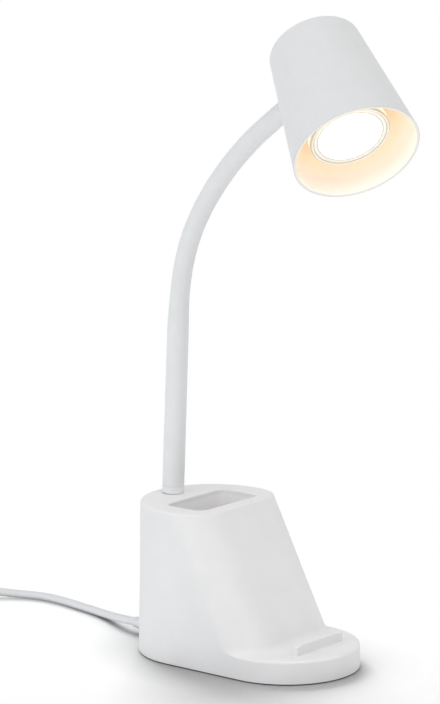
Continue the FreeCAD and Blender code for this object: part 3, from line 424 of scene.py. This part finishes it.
def silicone():
    """Matte silicone sleeve: a little dusty, with a very fine skin and shallow unevenness."""
    finish = Finish(
        "silicone_sleeve", 0.62, Specular_IOR_Level=0.32, Sheen_Weight=0.04, Sheen_Roughness=0.5
    )
    finish.colour(finish.patches(0.012, (0.800, 0.812, 0.815), (0.824, 0.832, 0.835), 5))
    finish.rough(0.004, 0.56, 0.68)
    finish.relief(finish.cloud(0.0004, 4), 0.00002)
    finish.relief(finish.cloud(0.009, 2), 0.00012)
    return finish


def powder_coat(name, colour, roughness):
    """Powder coat: the shallow orange peel of the fused powder over a finer speckle."""
    finish = Finish(name, roughness)
    finish.colour(finish.patches(0.010, *shades_of(colour, 0.01)))
    finish.rough(0.003, roughness - 0.05, roughness + 0.06)
    finish.relief(finish.cloud(0.0016, 2), 0.00006)
    finish.relief(finish.cloud(0.00035, 3), 0.000015)
    return finish


def shade_coat():
    """White powder coat outside; inside, painted light: a lighter, warming colour and a painted
    glow.
    """
    finish = powder_coat("shade_coat", (0.805, 0.812, 0.815), 0.5)
    outside = finish.painted()
    middle_of_wall = 0.5
    closed_end = 6.0
    warm_from, warm_to = 2.0, 22.0
    lip_height, lip_glow = 0.4, 0.12
    # painted glow: the wall beside the spotlight's front glows most, and the lip a little
    band_glow = 0.15
    band_from, band_full, band_fading, band_to = 0.005, 0.013, 0.016, 0.032
    radius, height = finish.radius_and_height()
    slope = (SHADE_MOUTH_RADIUS - SHADE_TOP_RADIUS) / SHADE_LENGTH
    wall = finish.math("SUBTRACT", SHADE_MOUTH_RADIUS * MM, finish.product(height, slope))
    behind = finish.math("GREATER_THAN", finish.math("SUBTRACT", wall, radius), middle_of_wall * MM)
    below_end = finish.math("LESS_THAN", height, (SHADE_LENGTH - closed_end) * MM)
    inside = finish.product(behind, below_end)
    # painted light: the inside is coloured lighter than the outside, creamy at the mouth and more
    # peach deeper in
    deep = finish.span(height, 0, 1, warm_from * MM, warm_to * MM)
    painted_inner_light = finish.blend(deep, (0.93, 0.905, 0.84), (0.92, 0.83, 0.71))
    finish.colour(finish.blend(inside, outside, painted_inner_light))
    # painted glow in a band of the wall just behind the spotlight's front
    rise = finish.span(height, 0, band_glow, band_from, band_full)
    fall = finish.span(height, 1, 0, band_fading, band_to)
    painted_glow_band = finish.product(rise, fall, inside)
    # painted glow: the lip of the mouth glows faintly
    painted_lip_glow = finish.product(inside, finish.math("LESS_THAN", height, lip_height * MM), lip_glow)
    finish.glow((1.0, 0.91, 0.82, 1), finish.math("MAXIMUM", painted_lip_glow, painted_glow_band))
    return finish


def glowing_body():
    """The spotlight's white plastic: glossy, with a painted glow on its sides and round its lens.
    """
    finish = Finish("spotlight_body", 0.30, Coat_Weight=0.2)
    seam_radius, edge_start, edge_end = 0.02290, 0.0240, 0.0245
    face_glow, full_glow, far_share = 0.27, 0.96, 0.45
    radius, height = finish.radius_and_height()
    plastic = finish.patches(0.006, (0.84, 0.84, 0.83), (0.87, 0.87, 0.86))
    side = finish.span(height, 0, 1, (BULB_FACE + 0.8) * MM, (BULB_FACE + 2.2) * MM)
    seam = finish.off_line(radius, seam_radius, 0.0002, 0.0005)
    edge = finish.span(radius, 1.0, 0.0, edge_start, edge_end)
    bright = finish.product(seam, edge)
    finish.colour(finish.blend(finish.math("MAXIMUM", side, bright), (0.74, 0.68, 0.58), plastic))
    # painted glow: the sides glow warm, most just behind the face and fading deeper in, and the
    # bezel round the lens glows faintly
    rise = finish.span(height, 0.35, full_glow, (BULB_FACE + 1.5) * MM, (BULB_FACE + 8.0) * MM)
    fall = finish.span(height, 1, far_share, (BULB_FACE + 12.0) * MM, (BULB_FACE + 40.0) * MM)
    light = finish.blend(side, (1.0, 0.89, 0.66), (1.0, 0.75, 0.54))
    strength = finish.choose(side, finish.product(bright, face_glow), finish.product(rise, fall))
    finish.glow(light, strength)
    finish.rough(0.002, 0.25, 0.36, 4)
    finish.relief(finish.cloud(0.0008, 3), 0.00001)
    return finish


def lit_lens():
    """The lit front lens: white-hot in the middle, creamier in the steps at its rim."""
    finish = Finish("lit_lens", 0.12, Coat_Weight=0.5)
    finish.colour((0.95, 0.93, 0.88, 1.0))
    middle_glow, edge_glow, rim_glow = 5.6, 1.3, 0.30
    middle_end, edge_start = 0.0165, 0.0198
    rim_start, rim_full, groove_radius = 0.0200, 0.0203, 0.02055
    radius = finish.radius_and_height()[0]
    rim = finish.span(radius, 0, 1, rim_start, rim_full)
    groove = finish.off_line(radius, groove_radius, 0.0003, 0.0007)
    ripple = finish.span(finish.cloud(0.0016, 2), 0.94, 1.0, 0.3, 0.7)
    middle = finish.span(radius, middle_glow, edge_glow, middle_end, edge_start)
    level = finish.math("MINIMUM", middle, finish.span(rim, middle_glow, rim_glow))
    light = finish.blend(rim, (1.0, 0.95, 0.88), (1.0, 0.90, 0.68))
    finish.glow(light, finish.product(level, ripple, groove))
    finish.relief(finish.cells(0.0012), 0.00004)
    return finish


def lead_sheath():
    """Soft sheath of the mains lead: satin, slightly uneven, with shallow waves and a fine skin."""
    finish = Finish("lead_sheath", 0.42)
    finish.colour(finish.patches(0.02, (0.775, 0.785, 0.80), (0.80, 0.81, 0.825)))
    finish.rough(0.003, 0.36, 0.48)
    finish.relief(finish.cloud(0.004, 2), 0.00008)
    finish.relief(finish.cloud(0.0005, 3), 0.00001)
    return finish


def holder_steatite():
    """Ceramic of the lampholder: unglazed white, finely speckled and slightly chalky."""
    finish = Finish("holder_steatite", 0.55)
    specks = finish.span(finish.cells(0.0011), 0, 1, 0.05, 0.30)
    finish.colour(finish.blend(specks, (0.80, 0.77, 0.71), (0.88, 0.86, 0.82)))
    finish.rough(0.002, 0.45, 0.65)
    finish.relief(finish.cloud(0.0007, 4), 0.00005)
    return finish


def ring_rubber():
    """Grey rubber of the foot ring: mottled, grippy and rough."""
    finish = Finish("ring_rubber", 0.85)
    mottle = finish.span(finish.cloud(0.003, 5), 0, 1, 0.3, 0.7)
    finish.colour(finish.blend(mottle, (0.50, 0.50, 0.50), (0.59, 0.59, 0.59)))
    finish.relief(finish.cells(0.0007), 0.00006)
    return finish


def strap_fleece():
    """Hook-and-loop strap of the tie: a matted pile of fine loops."""
    finish = Finish("strap_fleece", 0.9, Sheen_Weight=0.4)
    loops = finish.cells(0.0006)
    pile = finish.span(loops, 0, 1, 0.1, 0.7)
    finish.colour(finish.blend(pile, (0.66, 0.66, 0.67), (0.84, 0.84, 0.85)))
    finish.relief(loops, 0.0002)
    finish.relief(finish.cloud(0.0015, 4), 0.00015)
    return finish


SLEEVE_FINISH = silicone()
LEAD_FINISH = lead_sheath()
STRAP_FINISH = strap_fleece()
LENS_FINISH = lit_lens()
FINISHES = {
    "housing_white": housing_coat(),
    "underside_plastic": moulded("underside_plastic", (0.76, 0.76, 0.76), 0.66, 0.0009, 0.00006),
    "foot_rubber": ring_rubber(),
    "bright_steel": brushed("bright_screws", (0.62, 0.62, 0.63), 0.30),
    "weight_steel": brushed("mill_steel", (0.42, 0.42, 0.43), 0.48, (0.05, 1, 1), 0.00004),
    "terminal_plastic": moulded("terminal_nylon", (0.78, 0.78, 0.74), 0.40, 0.0012, 0.00002),
    "cord_white": LEAD_FINISH,
    "collar_white": powder_coat("collar_coat", (0.82, 0.828, 0.83), 0.42),
    "zinc_steel": zinc_plate(),
    "gooseneck_steel": spring_steel(),
    "sleeve_silicone": SLEEVE_FINISH,
    "shade_white": shade_coat(),
    "holder_ceramic": holder_steatite(),
    "bulb_plastic": glowing_body(),
    "bulb_glass": LENS_FINISH,
    "pin_brass": brushed("pin_brass", (0.72, 0.60, 0.34), 0.28),
    "switch_white": moulded("switch_plastic", (0.80, 0.80, 0.80), 0.36, 0.0007, 0.000012),
    "rocker_white": moulded("rocker_plastic", (0.76, 0.76, 0.76), 0.34, 0.0008, 0.00001),
    "plug_nickel": brushed("plug_nickel", (0.72, 0.71, 0.69), 0.24, (0.06, 0.06, 1), 0.000004),
}
slot_of = {part["node"]: part["material_slot"] for part in frame["record"]["subparts"]}
for name, node in node_of.items():
    for place in node.material_slots:
        place.material = FINISHES[slot_of[name]].material

# ---- camera --------------------------------------------------------------------------------------
CAMERA_PLACE = (-1.6294, -1.2872, 0.58747)
CAMERA_PITCH = math.radians(10.63)
CAMERA_HEADING = math.radians(-51.19)
CAMERA_LENS = 172.38
SENSOR_WIDTH = 36.0
NEAREST, FARTHEST = 0.05, 50.0

eye = bpy.data.cameras.new("view_camera")
eye.lens, eye.sensor_width = CAMERA_LENS, SENSOR_WIDTH
eye.clip_start, eye.clip_end = NEAREST, FARTHEST
camera = bpy.data.objects.new("view_camera", eye)
camera.location = CAMERA_PLACE
camera.rotation_euler = (math.pi / 2 - CAMERA_PITCH, 0, CAMERA_HEADING)
scene.collection.objects.link(camera)
scene.camera = camera
scene.view_settings.view_transform = "Standard"

# ---- mains lead ----------------------------------------------------------------------------------
COIL_START = 48.0
COIL_STEP = 15.0
COIL_POINTS = 180
# where each turn lies: (radius, level) of the turns one after another, round a hollow middle
COIL_SLOTS = np.array([(2, 0), (1, 0), (0, 0), (0, 1), (0, 2), (1, 2), (2, 2), (2, 1), (2, 1)])
# the angle at which each turn starts to move over to the place of the next; the last never does
NEVER = 999.0
COIL_SHIFTS = np.array([318.0, 318.0, 287.0, 287.0, 256.0, 256.0, 225.0, NEVER])
COIL_SHIFT_SPAN = 90.0
# the turns rise a little off the floor where the tie passes under them
TIE_RISE = 0.95
TIE_RISE_SPAN = 17
LEAD_BEVEL_STEPS = 5
LEAD_CURVE_STEPS = 5
CURVE_ORDER = 3


def coil_points():
    """Control points of the wound lead: angle a, radius r(a) and height z(a).

    The radius and height are eased from one turn's place to the next."""
    angle = COIL_START + COIL_STEP * np.arange(COIL_POINTS)
    turn = ((angle - COIL_START) // 360).astype(int)
    around = angle - 360 * turn
    radii = np.array(COIL_RADII)[COIL_SLOTS[:, 0]] / math.cos(math.radians(COIL_STEP / 2))
    levels = np.array(COIL_LEVELS)[COIL_SLOTS[:, 1]]
    share = smoothstep((around - COIL_SHIFTS[turn]) / COIL_SHIFT_SPAN)
    radius = radii[turn] + (radii[turn + 1] - radii[turn]) * share
    height = levels[turn] + (levels[turn + 1] - levels[turn]) * share
    height = height + TIE_RISE * np.exp(-(((around - TIE_ANGLE) / TIE_RISE_SPAN) ** 2))
    a = np.radians(angle)
    x, y = COIL_CENTRE[0] + radius * np.cos(a), COIL_CENTRE[1] + radius * np.sin(a)
    return np.stack([x, y, height], axis=-1)


lead_route = np.vstack([LEAD_RUN, SWITCH_RUN, coil_points(), PLUG_RUN]) * MM
lead_curve = bpy.data.curves.new("mains_lead", "CURVE")
lead_curve.dimensions = "3D"
lead_curve.bevel_depth = LEAD_RADIUS * MM
lead_curve.bevel_resolution = LEAD_BEVEL_STEPS
lead_curve.use_fill_caps = True
lead_spline = lead_curve.splines.new("NURBS")
lead_spline.points.add(len(lead_route) - 1)
lead_weights = np.ones((len(lead_route), 1))
lead_spline.points.foreach_set("co", np.hstack([lead_route, lead_weights]).ravel())
lead_spline.order_u = CURVE_ORDER
lead_spline.use_endpoint_u = True
lead_spline.resolution_u = LEAD_CURVE_STEPS
lead_curve.materials.append(LEAD_FINISH.material)
mains_lead = bpy.data.objects.new("mains_lead", lead_curve)
scene.collection.objects.link(mains_lead)

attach(mains_lead, "base")
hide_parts("cord_lead", "cord_mid", "cord_tail", "cord_coil")

# ---- floor and light -----------------------------------------------------------------------------
FLOOR_REACH = 6.0
FLOOR_GREY = (0.63, 0.63, 0.63)
CONTACT_SHADOW_GREY = (0.20, 0.20, 0.20)
CONTACT_DISTANCE = 0.042
FADE_START, FADE_END = 0.13, 0.34
SKY_COLOUR = (0.97, 0.985, 1.0, 1)
SKY_STRENGTH = 0.66
# name: place, target, size, watts and colour
SOFT_LAMPS = {
    "left_box": ((-2.1, 0.4, 0.7), (0, 0, 0.2), 1.4, 8.6, (0.96, 0.98, 1.0)),
    "top_box": ((-0.5, -1.2, 1.9), (0, 0, 0.1), 1.3, 8.0, (1.0, 0.94, 0.905)),
    # stands behind the lamp and lights only the floor, so that the shadow falls forward
    "floor_box": ((0.95, 1.2, 1.25), (0, 0, 0), 1.2, 55.0, (1.0, 1.0, 1.0)),
    # fills the tray and the pocket from above
    "tray_box": ((-0.3, -0.15, 1.3), (0, 0, 0.05), 0.9, 3.2, (1.0, 0.87, 0.84)),
}


def seen_rays(nodes, links):
    """1 for a ray that is looked along, straight, in a reflection or through glass, else 0."""
    path = nodes.new("ShaderNodeLightPath")
    seen = path.outputs["Is Camera Ray"]
    for kind in ("Is Glossy Ray", "Is Transmission Ray"):
        either = nodes.new("ShaderNodeMath")
        either.operation = "MAXIMUM"
        links.new(seen, either.inputs[0])
        links.new(path.outputs[kind], either.inputs[1])
        seen = either.outputs[0]
    return seen


def floor_finish():
    """White floor that fades to plain white away from the lamp and keeps its shadow near by."""
    finish = Finish("floor", 0.9, Specular_IOR_Level=0.0)
    # painted shadow: near the object the floor's colour darkens with ambient occlusion, a contact
    # shadow
    contact_shadow = finish.node("AmbientOcclusion", samples=8)
    contact_shadow.inputs["Distance"].default_value = CONTACT_DISTANCE
    finish.colour(finish.blend(contact_shadow.outputs["AO"], CONTACT_SHADOW_GREY, FLOOR_GREY))
    white = finish.node("Emission")
    white.inputs["Strength"].default_value = 1.0
    distance = finish.node("VectorMath", operation="LENGTH")
    finish.feed(distance.inputs[0], finish.place)
    far = finish.span(distance.outputs["Value"], 0, 1, FADE_START, FADE_END)
    mixed = finish.node("MixShader")
    finish.feed(mixed.inputs["Fac"], finish.product(far, seen_rays(finish.nodes, finish.links)))
    finish.feed(mixed.inputs[1], finish.shader.outputs[0])
    finish.feed(mixed.inputs[2], white.outputs[0])
    finish.feed(finish.nodes["Material Output"].inputs["Surface"], mixed.outputs[0])
    return finish


floor_mesh = bpy.data.meshes.new("floor")
floor_signs = ((-1, -1), (1, -1), (1, 1), (-1, 1))
floor_corners = [(x * FLOOR_REACH, y * FLOOR_REACH, 0) for x, y in floor_signs]
floor_mesh.from_pydata(floor_corners, [], [(0, 1, 2, 3)])
floor_mesh.materials.append(floor_finish().material)
floor = bpy.data.objects.new("floor", floor_mesh)
scene.collection.objects.link(floor)

# the world: a soft pale light, seen as plain white
sky = bpy.data.worlds.new("studio")
scene.world = sky
sky.use_nodes = True
sky_nodes, sky_links = sky.node_tree.nodes, sky.node_tree.links
backdrop = sky_nodes["Background"]
backdrop.inputs["Color"].default_value = SKY_COLOUR
backdrop.inputs["Strength"].default_value = SKY_STRENGTH
plain = sky_nodes.new("ShaderNodeBackground")
plain.inputs["Color"].default_value = (1, 1, 1, 1)
plain.inputs["Strength"].default_value = 1.0
choice = sky_nodes.new("ShaderNodeMixShader")
sky_links.new(seen_rays(sky_nodes, sky_links), choice.inputs["Fac"])
sky_links.new(backdrop.outputs[0], choice.inputs[1])
sky_links.new(plain.outputs[0], choice.inputs[2])
sky_links.new(choice.outputs[0], sky_nodes["World Output"].inputs["Surface"])


def soft_lamp(name, place, target, size, power, colour):
    """A square soft box at place, facing target."""
    data = bpy.data.lights.new(name, "AREA")
    data.size, data.energy, data.color = size, power, colour
    lamp = bpy.data.objects.new(name, data)
    lamp.location = place
    lamp.rotation_euler = (Vector(target) - Vector(place)).to_track_quat("-Z", "Y").to_euler()
    scene.collection.objects.link(lamp)
    return lamp


def light_only(lamp, name, thing):
    """Lets the lamp light nothing but one object, through a collection of its own."""
    lit = bpy.data.collections.new(name)
    lit.objects.link(thing)
    lamp.light_linking.receiver_collection = lit


lamps = {name: soft_lamp(name, *settings) for name, settings in SOFT_LAMPS.items()}
light_only(lamps["floor_box"], "lit_floor", floor)
light_only(lamps["tray_box"], "lit_base", node_of["base_housing"])

# ---- arm -----------------------------------------------------------------------------------------
SLEEVE_SIDES = 64
BEND_ROWS = 15
STRAIGHT_ROWS = 24
POST_ROWS = 40
EDGE_ROWS = 7
POST_EDGE, END_EDGE = 0.3, 0.8
BLEND_INSET = 0.06


def sleeve_radius(along):
    """Outer radius of the sleeve at a distance along the arm, eased between its shape's knots."""
    at, size = np.array(SLEEVE_SHAPE).T
    i = np.clip(np.searchsorted(at, along, side="right") - 1, 0, len(at) - 2)
    return size[i] + (size[i + 1] - size[i]) * smoothstep((along - at[i]) / (at[i + 1] - at[i]))


def arm_direction(index):
    """Direction of the arm after joint index, a unit vector in the YZ plane."""
    tilt = math.radians(ARM_TILTS[index])
    return np.array([0.0, -math.sin(tilt), math.cos(tilt)])


def arm_joint(index):
    """Place of a joint; joint 0 is the arm's foot."""
    return np.array(ARM_FOOT if index == 0 else (0.0, *ARM_JOINTS[index - 1]))


def sleeve_rings(centres, tangents, radii):
    """Rings square to the tangents: centre + radius (cos a X + sin a (tangent x X))."""
    angle = np.linspace(0, 2 * np.pi, SLEEVE_SIDES, endpoint=False)
    side = np.array([1.0, 0.0, 0.0])
    up = np.cross(tangents, side)
    spoke = np.cos(angle)[:, None] * side + np.sin(angle)[:, None] * up[:, None, :]
    return centres[:, None, :] + radii[:, None, None] * spoke


def straight_sleeve(
    name, joint, start, end, offset, round_start=0.0, round_end=0.0, rows=STRAIGHT_ROWS
):
    """A length of sleeve with its bore, from start to end along the straight arm after a joint.

    Its free edge is rounded by a quarter circle of radius e: r - (e - sqrt(e^2 - d^2))."""
    quarter = 1 - np.cos(np.linspace(0, np.pi / 2, EDGE_ROWS))
    steps = np.linspace(start, end, rows)
    if round_start:
        steps = np.union1d(steps, start + round_start * quarter)
    if round_end:
        steps = np.union1d(steps, end - round_end * quarter)
    radii = sleeve_radius(steps + offset)
    for edge, distance in ((round_start, steps - start), (round_end, end - steps)):
        if edge:
            inside = np.clip(edge - distance, 0, edge)
            radii = radii - (edge - np.sqrt(edge * edge - inside * inside))
    along = arm_direction(joint)
    centres = arm_joint(joint) + steps[:, None] * along
    tangents = np.repeat(along[None], len(steps), axis=0)
    outer = sleeve_rings(centres, tangents, radii)
    bore = sleeve_rings(centres[::-1], tangents, np.full(len(steps), SLEEVE_BORE))
    return swept_ring(name, np.concatenate([outer, bore]), SLEEVE_FINISH)


def bent_sleeve(name, joint):
    """The sleeve round a joint J, from half a link before it at A to half a link after it at B.

    Its rings follow the curve (1-t)^2 A + 2t(1-t) J + t^2 B. Also gives the ends of its bend."""
    before, after = arm_direction(joint - 1), arm_direction(joint)
    middle = arm_joint(joint)
    start, end = middle - HALF_BEND * before, middle + HALF_BEND * after
    t = np.linspace(0, 1, BEND_ROWS)[:, None]
    centres = (1 - t) ** 2 * start + 2 * t * (1 - t) * middle + t * t * end
    tangents = (1 - t) * (middle - start) + t * (end - middle)
    tangents = tangents / np.linalg.norm(tangents, axis=1, keepdims=True)
    along = POST_LENGTH + LINK_PITCH * (joint - 1) - HALF_BEND + 2 * HALF_BEND * t[:, 0]
    outer = sleeve_rings(centres, tangents, sleeve_radius(along))
    bore = sleeve_rings(centres[::-1], tangents[::-1], np.full(BEND_ROWS, SLEEVE_BORE))
    piece = swept_ring(name, np.concatenate([outer, bore]), SLEEVE_FINISH)
    inset = (end - start) * BLEND_INSET
    return piece, (start + inset) * MM, (end - inset) * MM


post_sleeve = straight_sleeve(
    "arm_sleeve_post", 0, SLEEVE_START, POST_LENGTH - HALF_BEND, 0.0, round_start=POST_EDGE,
    rows=POST_ROWS,
)
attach(post_sleeve, "base")
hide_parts("arm_sleeve_0")
for joint in range(1, 10):
    bend, bend_start, bend_end = bent_sleeve(f"arm_sleeve_bend_{joint}", joint)
    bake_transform(bend)
    if joint < 9:
        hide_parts(f"arm_sleeve_{joint}")
end_sleeve = straight_sleeve(
    "arm_sleeve_end", 9, HALF_BEND, SLEEVE_END, POST_LENGTH + 8 * LINK_PITCH, round_end=END_EDGE
)
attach(end_sleeve, "arm_link_9")
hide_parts("arm_sleeve_9")


# ---- strain relief -------------------------------------------------------------------------------
def relief_boot():
    """The lead's bushing and its ribbed tail, one profile turned about the lead.

    The tail tapers, and its ribs add h (1/2 - 1/2 cos(2 pi n s)) (1 - f s) at a share s of it."""
    inner_face, outer_face, tip = 74.5, 77.0, 95.0
    root_radius, tip_radius = 4.75, 3.25
    rib_height, rib_count, rib_fade = 0.42, 6, 0.35
    tail = np.linspace(outer_face + 2.6, tip, 91)
    share = (tail - tail[0]) / (tail[-1] - tail[0])
    radius = root_radius + (tip_radius - root_radius) * share
    wave = 0.5 - 0.5 * np.cos(2 * np.pi * rib_count * share)
    ribs = rib_height * wave * (1 - rib_fade * share)
    flange = [
        (2.75, inner_face - 3.0), (4.9, inner_face - 3.0), (5.2, inner_face - 2.7),
        (5.2, inner_face - 0.9), (4.9, inner_face - 0.6), (4.0, inner_face - 0.6),
        (4.0, outer_face + 0.5), (4.8, outer_face + 0.5), (5.0, outer_face + 0.7),
        (5.0, outer_face + 1.7), (4.9, outer_face + 2.1), (4.8, outer_face + 2.4),
    ]
    mouth = [(3.1, tip + 0.12), (2.9, tip + 0.12), (2.76, tip), (2.75, tip - 1.0)]
    profile = np.vstack([flange, np.stack([radius + ribs, tail], axis=-1), mouth])
    rings = turned(profile, (0, 0, LEAD_EXIT[2]), (0, 1, 0), (1, 0, 0), 48)
    return swept_ring("lead_boot", rings, LEAD_FINISH, 35)


lead_boot = relief_boot()
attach(lead_boot, "base")
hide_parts("cord_gland")


# ---- tie -----------------------------------------------------------------------------------------
def coil_tie():
    """A strap round the wound lead, its flat section carried along a rounded square.

    It winds once round and then a length of overlap over itself, lifted clear of the first lap."""
    half, corner, thick, width = 8.55, 4.6, 0.75, 9.0
    level = 9.15
    overlap, gap, lift_length = 16.0, 0.12, 9.0
    side = 2 * (half - corner)
    arc = corner * np.pi / 2
    lap = 4 * (side + arc)
    s = np.linspace(0, lap + overlap, 260)
    around = s % lap
    quarter = np.minimum((around // (side + arc)).astype(int), 3)
    rest = around - quarter * (side + arc)
    turn = np.clip(rest - side, 0, arc) / corner
    run = np.minimum(rest, side)
    # u runs outward and v up: the first side is the top one, and each further side turns by a
    # right angle
    u = -half + corner + run + corner * np.sin(turn)
    v = half - corner + corner * np.cos(turn)
    c, d = np.cos(-quarter * np.pi / 2), np.sin(-quarter * np.pi / 2)
    path = np.stack([c * u - d * v, d * u + c * v], axis=-1)
    heading = -quarter * np.pi / 2 - turn
    outward = np.stack([-np.sin(heading), np.cos(heading)], axis=-1)
    lift = (thick + gap) * smoothstep((s - lap + lift_length) / lift_length)
    path = path + outward * (lift + thick / 2)[:, None]
    # the strap's section: two flat faces joined by half circles
    edge = np.linspace(0, np.pi, 7)
    reach = width / 2 - thick / 2 + thick / 2 * np.sin(edge)
    rise = thick / 2 * np.cos(edge)
    profile = np.vstack([np.stack([reach, rise], axis=-1), np.stack([-reach, -rise], axis=-1)])
    a = math.radians(TIE_ANGLE)
    out = np.array([math.cos(a), math.sin(a), 0])
    along = np.array([-math.sin(a), math.cos(a), 0])
    up = np.array([0, 0, 1.0])
    centre = np.array([*COIL_CENTRE, 0]) + out * (sum(COIL_RADII) / 3) + up * level
    spot = centre + path[:, :1] * out + path[:, 1:] * up
    thickness = outward[:, :1] * out + outward[:, 1:] * up
    rings = (
        spot[:, None] + profile[None, :, :1] * along + profile[None, :, 1:] * thickness[:, None]
    )
    return capped("coil_tie", rings, STRAP_FINISH, 50)


tie = coil_tie()
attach(tie, "base")


# ---- lens of the spotlight -----------------------------------------------------------------------
def front_lens():
    """The front lens turned about the shade's axis.

    A shallow dome, d = 0.45 - 0.25 (1 - (r / R)^2) deep, then a groove and two prismatic steps."""
    face, back = BULB_FACE, BULB_FACE + LENS_DEPTH
    dome_radius = 19.9
    dome = np.linspace(0.6, dome_radius, 30)
    front = [(r, face + 0.45 - 0.25 * (1 - (r / dome_radius) ** 2)) for r in dome]
    steps = [
        (20.15, face + 0.5), (20.35, face + 0.95), (20.6, face + 0.95), (20.8, face + 0.45),
        (21.1, face + 0.4), (21.35, face + 0.5), (LENS_RADIUS, face + 0.8),
    ]
    profile = front + steps + [(LENS_RADIUS, back), (12.0, back), (1.0, back)]
    shade_axes = np.array(Euler(SHADE_TURN, "XYZ").to_matrix())
    rings = turned(profile, SHADE_PLACE, shade_axes[:, 2], shade_axes[:, 0], 96)
    return capped("front_lens", rings, LENS_FINISH, 30)


lens = front_lens()
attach(lens, "bulb")
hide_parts("bulb_lens")
